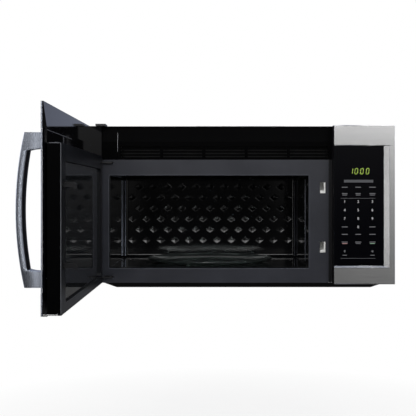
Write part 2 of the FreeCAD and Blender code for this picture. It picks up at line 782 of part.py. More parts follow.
# ---- hinges ----
def hinge_bracket(z):
    """Steel arm through the face, with its pin and its foot inside."""
    z0 = z - HINGE_PLATE / 2
    z1 = z + HINGE_PLATE / 2
    arm_x0, arm_x1 = hinge_arm_x()
    foot_y0 = FACE_BACK_Y
    foot_y1 = FACE_BACK_Y + HINGE_PLATE
    arm = box(
        PIVOT_X, arm_x1, PIVOT_Y - HINGE_ARM_HALF, PIVOT_Y + HINGE_ARM_HALF, z0, z1
    )
    root = box(arm_x0, arm_x1, PIVOT_Y - HINGE_ARM_HALF, foot_y1, z0, z1)
    eye = along_z(PIVOT_X, PIVOT_Y, z0, z1, HINGE_ARM_HALF)
    pin = along_z(
        PIVOT_X, PIVOT_Y, z0 - HINGE_PIN_LENGTH, z1 + HINGE_PIN_LENGTH, HINGE_PIN_R
    )
    half = HINGE_FOOT_HEIGHT / 2
    foot_z0 = max(z - half, FLOOR + SHEET + FIT)
    foot_z1 = min(z + half, VENT_Z - SHEET - FIT)
    foot = box(arm_x0 - FIT, arm_x1, foot_y0, foot_y1, foot_z0, foot_z1)
    slot_gap = box(
        arm_x0 - FIT, arm_x1, foot_y0, foot_y1,
        z0 - HINGE_NOTCH_GAP - SHEET, z1 + HINGE_NOTCH_GAP + SHEET,
    )
    web = box(arm_x0, arm_x1, foot_y1, foot_y1 + HINGE_PLATE, foot_z0, foot_z1)
    root = root.fuse(box(arm_x0, arm_x1, foot_y1, foot_y1 + HINGE_PLATE, z0, z1))
    return join_all([arm, root, eye, pin, foot.cut(slot_gap), web])


def hinge_brackets():
    """The upper and the lower hinge bracket, both alike."""
    return group([hinge_bracket(z) for z in HINGE_LEVELS])


def hinge_notch(z):
    """Space that a hinge arm sweeps inside the door."""
    half = HINGE_PLATE / 2 + HINGE_NOTCH_GAP
    gap = HINGE_NOTCH_GAP
    return box(
        LEFT - gap, PIVOT_X + HINGE_ARM_REACH + gap, PIVOT_Y - HINGE_ARM_HALF - gap,
        DOOR_BACK_Y, z - half, z + half,
    )


def hinge_hole(z):
    """Running hole for a hinge pin, as deep as the pin and a little more."""
    half = HINGE_PLATE / 2 + HINGE_PIN_LENGTH + HINGE_NOTCH_GAP
    return along_z(PIVOT_X, PIVOT_Y, z - half, z + half, HINGE_PIN_R + HINGE_PIN_FIT)


# ---- door ----
def bevel_x(x0, x1, z0, z1):
    """Wedge that slopes a side band down to the glass, from x0 down to x1."""
    outline = [
        point(x0, DOOR_FRONT_Y, z0),
        point(x1, DOOR_FRONT_Y, z0),
        point(x1, GLASS_FRONT_Y, z0),
    ]
    return polygon_prism(outline, point(0, 0, z1 - z0))


def bevel_z(x0, x1):
    """Wedge that slopes the bottom band down to the glass."""
    z0 = FLOOR + BOTTOM_BAND
    outline = [
        point(x0, DOOR_FRONT_Y, z0),
        point(x0, DOOR_FRONT_Y, GLASS_Z0),
        point(x0, GLASS_FRONT_Y, GLASS_Z0),
    ]
    return polygon_prism(outline, point(x1 - x0, 0, 0))


def door_outer_frame():
    """Stainless bands round the glass, with folded sides."""
    plate = box(LEFT, DOOR_X1, DOOR_FRONT_Y, GLASS_FRONT_Y, FLOOR, TOP)
    window = box(DOOR_GLASS_X0, DOOR_X1, DOOR_FRONT_Y, GLASS_FRONT_Y, GLASS_Z0, GLASS_Z1)
    slopes = [
        bevel_x(LEFT + SIDE_BAND, DOOR_GLASS_X0, GLASS_Z0, GLASS_Z1),
        bevel_z(DOOR_GLASS_X0, DOOR_X1),
    ]
    plate = cut_all(plate.cut(window), slopes)
    fold_z1 = TOP - COVER_LEDGE_DROP - FIT
    hinge_side = box(LEFT, LEFT + DOOR_SKIN, GLASS_FRONT_Y, SHELL_BACK_Y, FLOOR, fold_z1)
    foot = box(LEFT, DOOR_X1, GLASS_FRONT_Y, SHELL_BACK_Y, FLOOR, FLOOR + DOOR_SKIN)
    end_x = DOOR_X1 - DOOR_SKIN
    low_end = box(end_x, DOOR_X1, GLASS_FRONT_Y, SHELL_BACK_Y, FLOOR, GLASS_Z0 - GLASS_LAP)
    return join_all([plate, hinge_side, foot, low_end])


def handle_screw_places():
    """Centres of the two handle screws, as x and z."""
    x = DOOR_X1 - HANDLE_FREE_INSET
    half = HANDLE_FOOT_LENGTH / 2
    return [(x, HANDLE_Z0 + half), (x, HANDLE_Z1 - half)]


def door_glass():
    """Black front glass, lapped behind the bands."""
    glass = box(
        DOOR_GLASS_X0 - GLASS_LAP, DOOR_X1, GLASS_FRONT_Y, GLASS_BACK_Y,
        GLASS_Z0 - GLASS_LAP, GLASS_Z1 + GLASS_LAP,
    )
    tools = []
    for x, z in handle_screw_places():
        tools.append(along_y(x, GLASS_FRONT_Y, GLASS_BACK_Y, z, SCREW_HOLE_R))
    return cut_all(glass, tools)


def door_top_cover():
    """Glossy black cover of the door's top: thin wall, ledge, end rib and end wall."""
    low = INNER_Z1 + FIT
    ledge_z = TOP - COVER_LEDGE_DROP
    lap_z = GLASS_Z1 + GLASS_LAP + FIT
    wall_y = GLASS_FRONT_Y + COVER_WALL
    section = [
        (GLASS_FRONT_Y, TOP),
        (wall_y, TOP),
        (wall_y, ledge_z),
        (SHELL_BACK_Y, ledge_z),
        (SHELL_BACK_Y, low),
        (GLASS_BACK_Y, low),
        (GLASS_BACK_Y, lap_z),
        (GLASS_FRONT_Y, lap_z),
    ]
    outline = [point(LEFT, y, z) for y, z in section]
    solid = polygon_prism(outline, point(DOOR_X1 - LEFT, 0, 0))
    rib_x = DOOR_X1 - DOOR_SKIN
    rib = [(wall_y, TOP), (SHELL_BACK_Y, ledge_z), (wall_y, ledge_z)]
    rib = polygon_prism([point(rib_x, y, z) for y, z in rib], point(DOOR_SKIN, 0, 0))
    end_y = DOOR_BACK_Y - 2 * DOOR_SKIN
    end_wall = box(LEFT, LEFT + DOOR_SKIN, wall_y, end_y, ledge_z, TOP)
    end_foot = box(LEFT, LEFT + DOOR_SKIN, SHELL_BACK_Y, end_y, low, ledge_z)
    solid = join_all([solid, rib, end_wall, end_foot])
    fold = box(
        LEFT, LEFT + DOOR_SKIN + FIT, GLASS_FRONT_Y, SHELL_BACK_Y, low - FIT,
        TOP - COVER_LEDGE_DROP,
    )
    tools = [fold]
    for x, z in handle_screw_places():
        tools.append(
            along_y(x, GLASS_BACK_Y, GLASS_BACK_Y + SCREW_HEAD_H + FIT, z, SCREW_HEAD_R + FIT)
        )
    return cut_all(solid, tools)


def window_block(y0, y1, margin):
    """The window passage, smaller by a margin on each side."""
    return rounded_block_y(
        WINDOW_X0 + margin, WINDOW_X1 - margin, y0, y1, WINDOW_Z0 + margin,
        WINDOW_Z1 - margin, WINDOW_CORNER_R - margin,
    )


def hook_pass(z):
    """Slot in the door's inner face that one hook reaches through."""
    half_x = HOOK_THICKNESS / 2 + 2 * FIT
    z0 = z - HOOK_HEIGHT / 2 - 2 * FIT
    z1 = z + HOOK_HEIGHT / 2 + LATCH_TRAVEL + 2 * FIT
    return box(HOOK_X - half_x, HOOK_X + half_x, DOOR_BACK_Y - DOOR_SKIN, DOOR_BACK_Y, z0, z1)


def door_inner_frame():
    """Grey steel channel round the window, with the hinge blocks welded in."""
    outer = box(INNER_X0, INNER_X1, SHELL_BACK_Y, DOOR_BACK_Y, INNER_Z0, INNER_Z1)
    corner = [
        e for e in outer.Edges
        if abs(e.BoundBox.XMax - INNER_X0) < 0.01 and abs(e.BoundBox.YMin - DOOR_BACK_Y) < 0.01
    ]
    outer = outer.makeFillet(INNER_CORNER_R, corner)
    inner = box(
        INNER_X0 + DOOR_SKIN, INNER_X1 - DOOR_SKIN, SHELL_BACK_Y, DOOR_BACK_Y - DOOR_SKIN,
        INNER_Z0 + DOOR_SKIN, INNER_Z1 - DOOR_SKIN,
    )
    window_wall = window_block(SHELL_BACK_Y, DOOR_BACK_Y - DOOR_SKIN, -DOOR_SKIN)
    channel = inner.cut(window_wall)
    shell = outer.cut(channel).cut(window_block(SHELL_BACK_Y, DOOR_BACK_Y, 0))
    blocks = []
    for z in HINGE_LEVELS:
        half = HINGE_PLATE / 2 + HINGE_PIN_LENGTH + HINGE_NOTCH_GAP + DOOR_SKIN
        z0 = max(z - half, INNER_Z0)
        z1 = min(z + half, INNER_Z1)
        blocks.append(
            box(
                INNER_X0 + DOOR_SKIN, WINDOW_X0 - 2 * DOOR_SKIN,
                PIVOT_Y - HINGE_BLOCK_HEIGHT, DOOR_BACK_Y - DOOR_SKIN, z0, z1,
            )
        )
    spring_foot = spring_span()[0] - SPRING_SEAT_GAP
    blocks.append(spring_pad(DOOR_BACK_Y - DOOR_SKIN, spring_foot - SPRING_PAD, spring_foot))
    shell = join_all([shell] + blocks)
    tools = []
    for z in HINGE_LEVELS:
        tools.append(hinge_notch(z))
        tools.append(hinge_hole(z))
    for z in HOOK_LEVELS:
        tools.append(hook_pass(z))
    return cut_all(shell, tools)


def door_choke():
    """Toothed ring round the window that holds the microwaves in."""
    y1 = DOOR_BACK_Y - DOOR_SKIN - CHOKE_STANDOFF
    y0 = y1 - SHEET
    outer = box(
        WINDOW_X0 - DOOR_SKIN - CHOKE_WIDTH, WINDOW_X1 + DOOR_SKIN + CHOKE_WIDTH, y0, y1,
        WINDOW_Z0 - DOOR_SKIN - CHOKE_WIDTH, WINDOW_Z1 + DOOR_SKIN + CHOKE_WIDTH,
    )
    outer = outer.common(
        box(
            WINDOW_X0 - DOOR_SKIN - CHOKE_WIDTH, WINDOW_X1 + DOOR_SKIN + CHOKE_WIDTH,
            y0, y1, INNER_Z0 + 2 * DOOR_SKIN, INNER_Z1 - 2 * DOOR_SKIN,
        )
    )
    ring = outer.cut(window_block(y0, y1, -DOOR_SKIN))
    tools = []
    span = WINDOW_X1 - WINDOW_X0
    count = int(span / CHOKE_PITCH)
    for i in range(count):
        x = WINDOW_X0 + (i + 0.5) * span / count
        half = CHOKE_PITCH / 8
        z1 = WINDOW_Z1 + DOOR_SKIN + CHOKE_WIDTH
        tools.append(box(x - half, x + half, y0, y1, z1 - CHOKE_TOOTH, z1))
        z0 = WINDOW_Z0 - DOOR_SKIN - CHOKE_WIDTH
        tools.append(box(x - half, x + half, y0, y1, z0, z0 + CHOKE_TOOTH))
    ring = ring.cut(group(tools))
    for z in HINGE_LEVELS:
        half = HINGE_PLATE / 2 + HINGE_PIN_LENGTH + HINGE_NOTCH_GAP + DOOR_SKIN + FIT
        x1 = PIVOT_X + HINGE_ARM_REACH + 2 * HINGE_NOTCH_GAP
        ring = ring.cut(box(LEFT, x1, y0, y1, z - half, z + half))
    return ring


def door_window():
    """Dark inner glass let into the inner frame."""
    y1 = DOOR_BACK_Y - WINDOW_RECESS
    return window_block(y1 - WINDOW_THICKNESS, y1, FIT)


def door_screen():
    """Pierced steel sheet between the two glasses."""
    y1 = DOOR_BACK_Y - WINDOW_RECESS - WINDOW_THICKNESS - SCREEN_GAP
    return window_block(y1 - SHEET, y1, FIT)


# ---- handle ----
def handle_bar_points(offset):
    """Ends and middle of one face of the bow, moved in by an offset."""
    x = DOOR_X1 - HANDLE_FREE_INSET - HANDLE_WIDTH / 2
    middle_y = GLASS_FRONT_Y - HANDLE_REACH + offset
    end_y = middle_y + HANDLE_BOW
    return [
        point(x, end_y, HANDLE_Z0),
        point(x, middle_y, (HANDLE_Z0 + HANDLE_Z1) / 2),
        point(x, end_y, HANDLE_Z1),
    ]


def bow(outer_offset, inner_offset):
    """Bowed strip between two offsets from the handle's outer face."""
    a = handle_bar_points(outer_offset)
    b = handle_bar_points(inner_offset)
    edges = [
        Part.Arc(a[0], a[1], a[2]).toShape(),
        Part.makeLine(a[2], b[2]),
        Part.Arc(b[2], b[1], b[0]).toShape(),
        Part.makeLine(b[0], a[0]),
    ]
    face = Part.Face(Part.Wire(edges))
    return face.extrude(point(HANDLE_WIDTH, 0, 0))


def handle_bar():
    """Stainless bow of the handle."""
    return bow(0, HANDLE_THICKNESS)


def handle_liner():
    """Black strip along the inside of the bow."""
    return bow(HANDLE_THICKNESS, HANDLE_THICKNESS + HANDLE_LINER)


def handle_feet():
    """Two stainless feet between the glass and the bow."""
    feet = []
    fill = bow(-HANDLE_REACH, HANDLE_THICKNESS + HANDLE_LINER)
    for x, z in handle_screw_places():
        half_x = HANDLE_WIDTH / 2 - HANDLE_FOOT_INSET
        half_z = HANDLE_FOOT_LENGTH / 2
        y0 = GLASS_FRONT_Y - HANDLE_REACH + HANDLE_THICKNESS + HANDLE_LINER
        foot = box(x - half_x, x + half_x, y0, GLASS_FRONT_Y, z - half_z, z + half_z)
        hole = along_y(x, GLASS_FRONT_Y - SCREW_BITE - FIT, GLASS_FRONT_Y, z, SCREW_SHANK_R)
        feet.append(foot.cut(fill).cut(hole))
    return group(feet)


def handle_screws():
    """Two screws driven through the glass into the feet."""
    screws = []
    for x, z in handle_screw_places():
        head = along_y(x, GLASS_BACK_Y, GLASS_BACK_Y + SCREW_HEAD_H, z, SCREW_HEAD_R)
        shank = along_y(x, GLASS_FRONT_Y - SCREW_BITE, GLASS_BACK_Y, z, SCREW_SHANK_R)
        screws.append(head.fuse(shank))
    return group(screws)


# ---- latch ----
def spring_span():
    """Lowest and highest level of the latch spring."""
    z1 = LOWER_HOOK_Z - HOOK_HEIGHT
    return z1 - SPRING_LENGTH, z1


def spring_y():
    """Depth of the spring's axis, beside the slider's strip."""
    y0, y1 = slider_span()
    return y0 - SPRING_R


def slider_span():
    """Depth range of the latch slider inside the door."""
    y1 = DOOR_BACK_Y - DOOR_SKIN - FIT
    return y1 - 2 * SHEET - FIT, y1


def latch_slider():
    """Plastic slider with two hooks that reach out of the door's inner face."""
    y0, y1 = slider_span()
    z0 = LOWER_HOOK_Z - HOOK_HEIGHT
    z1 = UPPER_HOOK_Z + HOOK_HEIGHT
    strip = box(HOOK_X - HOOK_THICKNESS, HOOK_X + HOOK_THICKNESS, y0, y1, z0, z1)
    parts = [strip]
    for z in HOOK_LEVELS:
        half = HOOK_HEIGHT / 2
        x0 = HOOK_X - HOOK_THICKNESS / 2
        tip = DOOR_BACK_Y + HOOK_LENGTH
        outline = [
            point(x0, y0, z + half),
            point(x0, tip - HOOK_LIP, z + half),
            point(x0, tip, z + half - HOOK_LIP),
            point(x0, tip, z - half),
            point(x0, tip - HOOK_LIP, z - half),
            point(x0, tip - 2 * HOOK_LIP, z - half + HOOK_LIP),
            point(x0, y0, z - half + HOOK_LIP),
        ]
        parts.append(polygon_prism(outline, point(HOOK_THICKNESS, 0, 0)))
    spring_top = spring_span()[1] + SPRING_SEAT_GAP
    parts.append(spring_pad(y1, spring_top, spring_top + SPRING_PAD))
    return join_all(parts)


def spring_pad(y1, z0, z1):
    """Small shelf that one end of the latch spring is hooked to."""
    y0 = spring_y() - SPRING_R
    return box(HOOK_X - SPRING_R, HOOK_X + SPRING_R, y0, y1, z0, z1)


def latch_spring():
    """Small coil spring that pulls the slider down."""
    z0, z1 = spring_span()
    turn = (SPRING_LENGTH - 2 * SPRING_WIRE_R) / SPRING_TURNS
    helix = Part.makeHelix(turn, turn * SPRING_TURNS, SPRING_R - SPRING_WIRE_R)
    start = point(SPRING_R - SPRING_WIRE_R, 0, 0)
    ring = Part.Wire(Part.makeCircle(SPRING_WIRE_R, start, point(0, 1, 0)))
    coil = Part.Wire(helix.Edges).makePipeShell([ring], True, True)
    coil.translate(point(HOOK_X, spring_y(), z0 + SPRING_WIRE_R))
    return coil


def latch_board():
    """White plastic block behind the slots, hollow for the hooks."""
    x0 = HOOK_X - LATCH_BOARD_WIDTH / 2
    x1 = HOOK_X + LATCH_BOARD_WIDTH / 2
    z0 = LOWER_HOOK_Z - SLOT_HEIGHT / 2 - LATCH_BOARD_MARGIN
    z1 = UPPER_HOOK_Z + SLOT_HEIGHT / 2 + LATCH_BOARD_MARGIN
    y1 = LATCH_BOARD_Y1
    block = box(x0, x1, FACE_BACK_Y, y1, z0, z1)
    wall = LATCH_BOARD_WALL
    tools = []
    for z in HOOK_LEVELS:
        half = SLOT_HEIGHT / 2
        tools.append(
            box(x0 + wall, x1 - wall, FACE_BACK_Y, y1 - wall, z - half, z + half)
        )
    middle0 = LOWER_HOOK_Z + SLOT_HEIGHT / 2 + wall
    middle1 = UPPER_HOOK_Z - SLOT_HEIGHT / 2 - wall
    tools.append(box(x0 + wall, x1 - wall, FACE_BACK_Y + wall, y1, middle0, middle1))
    return cut_all(block, tools)


def interlock_switches():
    """Three microswitches on the side of the latch board."""
    x0 = HOOK_X + LATCH_BOARD_WIDTH / 2
    y0 = FACE_BACK_Y + LATCH_BOARD_WALL
    switches = []
    beside = SWITCH_HEIGHT / 2 + FIT
    for z in [LOWER_HOOK_Z, UPPER_HOOK_Z - beside, UPPER_HOOK_Z + beside]:
        switches.append(
            box(
                x0, x0 + SWITCH_THICKNESS, y0, y0 + SWITCH_LENGTH,
                z - SWITCH_HEIGHT / 2, z + SWITCH_HEIGHT / 2,
            )
        )
    return group(switches)


# ---- control panel ----
def control_panel_frame():
    """Stainless front of the control side, folded back to the case."""
    plate = box(PANEL_X, RIGHT, DOOR_FRONT_Y, GLASS_FRONT_Y, FLOOR, TOP)
    window = box(PANEL_X, PANEL_GLASS_X1, DOOR_FRONT_Y, GLASS_FRONT_Y, GLASS_Z0, GLASS_Z1)
    slopes = [
        bevel_x(RIGHT - SIDE_BAND, PANEL_GLASS_X1, GLASS_Z0, GLASS_Z1),
        bevel_z(PANEL_X, PANEL_GLASS_X1),
    ]
    plate = cut_all(plate.cut(window), slopes)
    skin = DOOR_SKIN
    y0 = GLASS_FRONT_Y
    y1 = FACE_BACK_Y
    right = box(RIGHT - skin, RIGHT, y0, y1, FLOOR, TOP)
    top = box(PANEL_X, RIGHT, y0, y1, TOP - skin, TOP)
    foot = box(PANEL_X, RIGHT, y0, y1, FLOOR, FLOOR + skin)
    return join_all([plate, right, top, foot])


def control_panel_housing():
    """Black plastic tray that closes the side of the panel beside the door."""
    skin = DOOR_SKIN
    y0 = GLASS_BACK_Y + MEMBRANE
    side = box(PANEL_X, PANEL_X + skin, y0, FACE_BACK_Y, FLOOR + skin, TOP - skin)
    back_z0 = FLOOR + skin
    back = box(
        PANEL_X, RIGHT - skin, FACE_Y, FACE_BACK_Y, back_z0, TOP - skin
    )
    seam = box(FACE_X1, PANEL_X, FACE_Y - SEAM_PROUD, FACE_BACK_Y, FLOOR + skin, VENT_Z)
    vent = (RIGHT - PANEL_X) / 4
    middle = (PANEL_X + RIGHT) / 2
    opening = box(middle - vent, middle + vent, FACE_Y, FACE_BACK_Y, GLASS_Z0, GLASS_Z1)
    posts = []
    for z in [GLASS_Z0 + BOARD_MARGIN * 2, GLASS_Z1 - BOARD_MARGIN * 2]:
        for x in [PANEL_X + BOARD_MARGIN * 2, PANEL_GLASS_X1 - BOARD_MARGIN * 2]:
            posts.append(along_y(x, y0, y0 + BOARD_STANDOFF, z, SCREW_HEAD_R))
    rails = []
    for x in [PANEL_X + BOARD_MARGIN * 2, PANEL_GLASS_X1 - BOARD_MARGIN * 2]:
        half = SCREW_HEAD_R
        board_back = y0 + BOARD_STANDOFF + BOARD_THICKNESS
        rails.append(box(x - half, x + half, board_back, FACE_Y, GLASS_Z0, GLASS_Z1))
    return group([join_all([side, seam, back.cut(opening)] + rails)] + posts)


def control_glass():
    """Black glass that covers the display and the keys."""
    return box(
        PANEL_X, PANEL_GLASS_X1 + GLASS_LAP, GLASS_FRONT_Y, GLASS_BACK_Y,
        GLASS_Z0 - GLASS_LAP, GLASS_Z1 + GLASS_LAP,
    )


def display_span():
    x = (PANEL_X + PANEL_GLASS_X1) / 2 + DOOR_SIDE_GAP * 3
    return x - DISPLAY_WIDTH / 2, x + DISPLAY_WIDTH / 2


def keypad_membrane():
    """Touch film behind the glass, below the display."""
    z1 = TOP - DISPLAY_DROP - DISPLAY_HEIGHT / 2 - FIT
    return box(
        PANEL_X + DOOR_SKIN + FIT, PANEL_GLASS_X1, GLASS_BACK_Y, GLASS_BACK_Y + MEMBRANE,
        GLASS_Z0, z1,
    )


def display_module():
    """Display block that shows through the glass above the keys."""
    x0, x1 = display_span()
    z = TOP - DISPLAY_DROP
    half = DISPLAY_HEIGHT / 2
    y1 = GLASS_BACK_Y + MEMBRANE + BOARD_STANDOFF
    return box(x0, x1, GLASS_BACK_Y, y1, z - half, z + half)


def control_board():
    """Circuit board on posts behind the touch film, with its display block."""
    y0 = GLASS_BACK_Y + MEMBRANE + BOARD_STANDOFF
    board = box(
        PANEL_X + BOARD_MARGIN, PANEL_GLASS_X1 - BOARD_MARGIN, y0, y0 + BOARD_THICKNESS,
        GLASS_Z0 + BOARD_MARGIN, GLASS_Z1 - BOARD_MARGIN,
    )
    return group([board, display_module()])


# ---- turntable ----
def turntable_motor():
    """Flat gear motor under the cavity floor, on the floor sheet's bracket."""
    z1 = RECESS_Z - SHEET
    z0 = z1 - MOTOR_HEIGHT
    can = along_z(TABLE_X, TABLE_Y, z0, z1, MOTOR_R)
    bore = along_z(TABLE_X, TABLE_Y, z0 + SHEET, z1, SHAFT_R + SHAFT_FIT)
    ear_r = SCREW_HEAD_R
    ears = box(
        TABLE_X - MOTOR_R - 2 * ear_r, TABLE_X + MOTOR_R + 2 * ear_r,
        TABLE_Y - ear_r, TABLE_Y + ear_r, z1 - SHEET, z1,
    )
    return can.fuse(ears).cut(bore)


def turntable_coupler():
    """Three-lobed hub on the motor shaft that turns the tray."""
    z0 = RECESS_Z - SHEET - MOTOR_HEIGHT + 2 * SHEET
    hub_z0 = RECESS_Z + FIT
    hub_z1 = TRAY_Z - FIT
    shaft = along_z(TABLE_X, TABLE_Y, z0, hub_z0 + FIT, SHAFT_R)
    hub = along_z(TABLE_X, TABLE_Y, hub_z0, hub_z1, COUPLER_R)
    parts = [shaft, hub]
    for i in range(ROLLER_COUNT):
        angle = 2 * math.pi * i / ROLLER_COUNT
        x = TABLE_X + COUPLER_R * math.cos(angle)
        y = TABLE_Y + COUPLER_R * math.sin(angle)
        parts.append(along_z(x, y, hub_z0, hub_z1, COUPLER_LOBE_R))
    return join_all(parts)


def glass_turntable():
    """Glass tray with a raised rim, turned from one section."""
    t = TRAY_THICKNESS
    section = [
        (0, TRAY_Z),
        (TRAY_BASE_R, TRAY_Z),
        (TRAY_R - t / 2, TRAY_Z + TRAY_RIM_HEIGHT - t / 2),
        (TRAY_R, TRAY_Z + TRAY_RIM_HEIGHT - t / 4),
        (TRAY_R, TRAY_Z + TRAY_RIM_HEIGHT),
        (TRAY_R - t, TRAY_Z + TRAY_RIM_HEIGHT),
        (TRAY_BASE_R - t, TRAY_Z + t),
        (0, TRAY_Z + t),
    ]
    outline = [point(TABLE_X + r, TABLE_Y, z) for r, z in section]
    face = Part.Face(Part.makePolygon(outline + [outline[0]]))
    return face.revolve(point(TABLE_X, TABLE_Y, 0), point(0, 0, 1), 360)


def roller_direction(index):
    angle = 2 * math.pi * index / ROLLER_COUNT
    return point(math.cos(angle), math.sin(angle), 0)


def roller_ring():
    """Plastic ring with three stub axles for the rollers."""
    z0 = AXLE_Z - RING_THICKNESS / 2
    z1 = AXLE_Z + RING_THICKNESS / 2
    outer = along_z(TABLE_X, TABLE_Y, z0, z1, RING_OUTER_R)
    ring = outer.cut(along_z(TABLE_X, TABLE_Y, z0, z1, RING_OUTER_R - RING_WIDTH))
    parts = [ring]
    for i in range(ROLLER_COUNT):
        direction = roller_direction(i)
        start = point(TABLE_X, TABLE_Y, AXLE_Z) + direction * (RING_OUTER_R - RING_WIDTH / 2)
        length = RING_WIDTH / 2 + ROLLER_WIDTH + 2 * FIT + SHEET
        parts.append(rod(start, direction, AXLE_R, length))
    return join_all(parts)


def roller(index):
    """One roller on its stub axle."""
    direction = roller_direction(index)
    start = point(TABLE_X, TABLE_Y, AXLE_Z) + direction * (ROLLER_TRACK_R - ROLLER_WIDTH / 2)
    wheel = rod(start, direction, ROLLER_R, ROLLER_WIDTH)
    return wheel.cut(rod(start, direction, AXLE_R + AXLE_FIT, ROLLER_WIDTH))


# ---- blower and exhaust ----
def scroll(x0, x1):
    """One blower scroll, open at the top and at both sides."""
    wall = SCROLL_WALL

    def outline(r, grow):
        barrel = along_x(x0 - grow, x1 + grow, BLOWER_Y, BLOWER_Z, r)
        y0 = DUCT_Y0 + COLLAR_WALL + FIT
        neck = box(
            x0 - grow, x1 + grow, y0 + (SCROLL_R - r), BLOWER_Y + r,
            BLOWER_Z, TOP - SHEET - FIT,
        )
        return barrel.fuse(neck)

    outer = outline(SCROLL_R, wall)
    inner = outline(SCROLL_R - wall, 0)
    eye = along_x(x0 - wall, x1 + wall, BLOWER_Y, BLOWER_Z, INLET_R)
    limit = box(LEFT, RIGHT, LEFT, DUCT_Y1 - FIT, FLOOR, TOP)
    shell = outer.common(limit).cut(
        inner.common(box(LEFT, RIGHT, LEFT, DUCT_Y1 - FIT - wall, FLOOR, TOP))
    )
    return shell.cut(eye)


def blower_housing():
    """Two scrolls joined by a saddle that carries the motor."""
    left = scroll(BLOWER_X - WHEEL_OUT - SCROLL_GAP / 2, BLOWER_X - WHEEL_IN + SCROLL_GAP / 2)
    right = scroll(BLOWER_X + WHEEL_IN - SCROLL_GAP / 2, BLOWER_X + WHEEL_OUT + SCROLL_GAP / 2)
    reach = WHEEL_IN
    z1 = BLOWER_Z - BLOWER_MOTOR_R
    saddle = box(
        BLOWER_X - reach, BLOWER_X + reach, BLOWER_Y - BLOWER_MOTOR_R / 2,
        BLOWER_Y + BLOWER_MOTOR_R / 2, z1 - 2 * SCROLL_WALL, z1,
    )
    foot = box(
        BLOWER_X - reach, BLOWER_X + reach, BLOWER_Y - SCROLL_WALL, BLOWER_Y + SCROLL_WALL,
        CAVITY_Z1 + SHEET, z1 - SCROLL_WALL,
    )
    return join_all([left, right, saddle, foot])


def blower_motor():
    """Double-ended motor between the scrolls."""
    half = BLOWER_MOTOR_LENGTH / 2
    can = along_x(BLOWER_X - half, BLOWER_X + half, BLOWER_Y, BLOWER_Z, BLOWER_MOTOR_R)
    return can.cut(
        along_x(
            BLOWER_X - half, BLOWER_X + half, BLOWER_Y, BLOWER_Z, BLOWER_SHAFT_R + SHAFT_FIT
        )
    )


def squirrel_cage(x0, x1, hub_x):
    """Wheel of thin blades between two rings, carried by a hub disc."""
    ring_t = HUB_THICKNESS
    parts = []
    for start in [x0, x1 - ring_t]:
        ring = along_x(start, start + ring_t, BLOWER_Y, BLOWER_Z, WHEEL_R)
        bore = along_x(start, start + ring_t, BLOWER_Y, BLOWER_Z, WHEEL_BORE_R)
        if abs(start - hub_x) > 0.01:
            ring = ring.cut(bore)
        parts.append(ring)
    for i in range(WHEEL_BLADES):
        blade = box(
            x0 + ring_t / 2, x1 - ring_t / 2, BLOWER_Y - BLADE_THICKNESS / 2,
            BLOWER_Y + BLADE_THICKNESS / 2, BLOWER_Z + WHEEL_BORE_R + FIT,
            BLOWER_Z + WHEEL_R - FIT,
        )
        blade.rotate(
            point(0, BLOWER_Y, BLOWER_Z), point(1, 0, 0), 360.0 * i / WHEEL_BLADES
        )
        parts.append(blade)
    return parts[0].multiFuse(parts[1:])


def blower_wheels():
    """Both wheels on their common shaft."""
    right = squirrel_cage(
        BLOWER_X + WHEEL_IN, BLOWER_X + WHEEL_OUT, BLOWER_X + WHEEL_IN
    )
    left = squirrel_cage(
        BLOWER_X - WHEEL_OUT, BLOWER_X - WHEEL_IN, BLOWER_X - WHEEL_IN - HUB_THICKNESS
    )
    reach = WHEEL_IN + HUB_THICKNESS * 2
    shaft = along_x(BLOWER_X - reach, BLOWER_X + reach, BLOWER_Y, BLOWER_Z, BLOWER_SHAFT_R)
    return join_all([left, right, shaft])


def exhaust_adapter():
    """Rectangular collar on top that the duct slides over."""
    top = TOP + COLLAR_HEIGHT
    flange = duct_opening(COLLAR_FLANGE, TOP, TOP + SHEET)
    collar = duct_opening(0, TOP, top)
    passage = duct_opening(-COLLAR_WALL, TOP, top)
    half = DUCT_WIDTH / 2 + FIT
    pins = along_x(
        BLOWER_X - half, BLOWER_X + half, flap_pin_y(), FLAP_Z, FLAP_PIN_R + FLAP_PIN_FIT
    )
    return flange.fuse(collar).cut(passage).cut(pins)


def flap_pin_y():
    return DUCT_Y1 - COLLAR_WALL - FLAP_GAP - FLAP_PIN_R


def damper_flap():
    """Light flap that the blower's air lifts."""
    half = DUCT_WIDTH / 2 - COLLAR_WALL - FLAP_GAP
    y0 = DUCT_Y0 + COLLAR_WALL + FLAP_GAP
    pin_half = DUCT_WIDTH / 2
    y1 = flap_pin_y()
    plate = box(
        BLOWER_X - half, BLOWER_X + half, y0, y1, FLAP_Z - FLAP_THICKNESS / 2,
        FLAP_Z + FLAP_THICKNESS / 2,
    )
    pin = along_x(BLOWER_X - pin_half, BLOWER_X + pin_half, y1, FLAP_Z, FLAP_PIN_R)
    return plate.fuse(pin)


def cord_bushing():
    """Rubber bushing where the power cord leaves the top."""
    x = cord_x()
    y = -CORD_BACK
    groove_r = BUSHING_R + BUSHING_LIP
    body = along_z(x, y, TOP - SHEET - BUSHING_LIP, TOP + BUSHING_LIP, BUSHING_R)
    low = along_z(x, y, TOP - SHEET - BUSHING_LIP, TOP - SHEET, groove_r)
    high = along_z(x, y, TOP, TOP + BUSHING_LIP, groove_r)
    bore = along_z(x, y, TOP - SHEET - BUSHING_LIP, TOP + BUSHING_LIP, BUSHING_BORE_R)
    return join_all([body, low, high]).cut(bore)


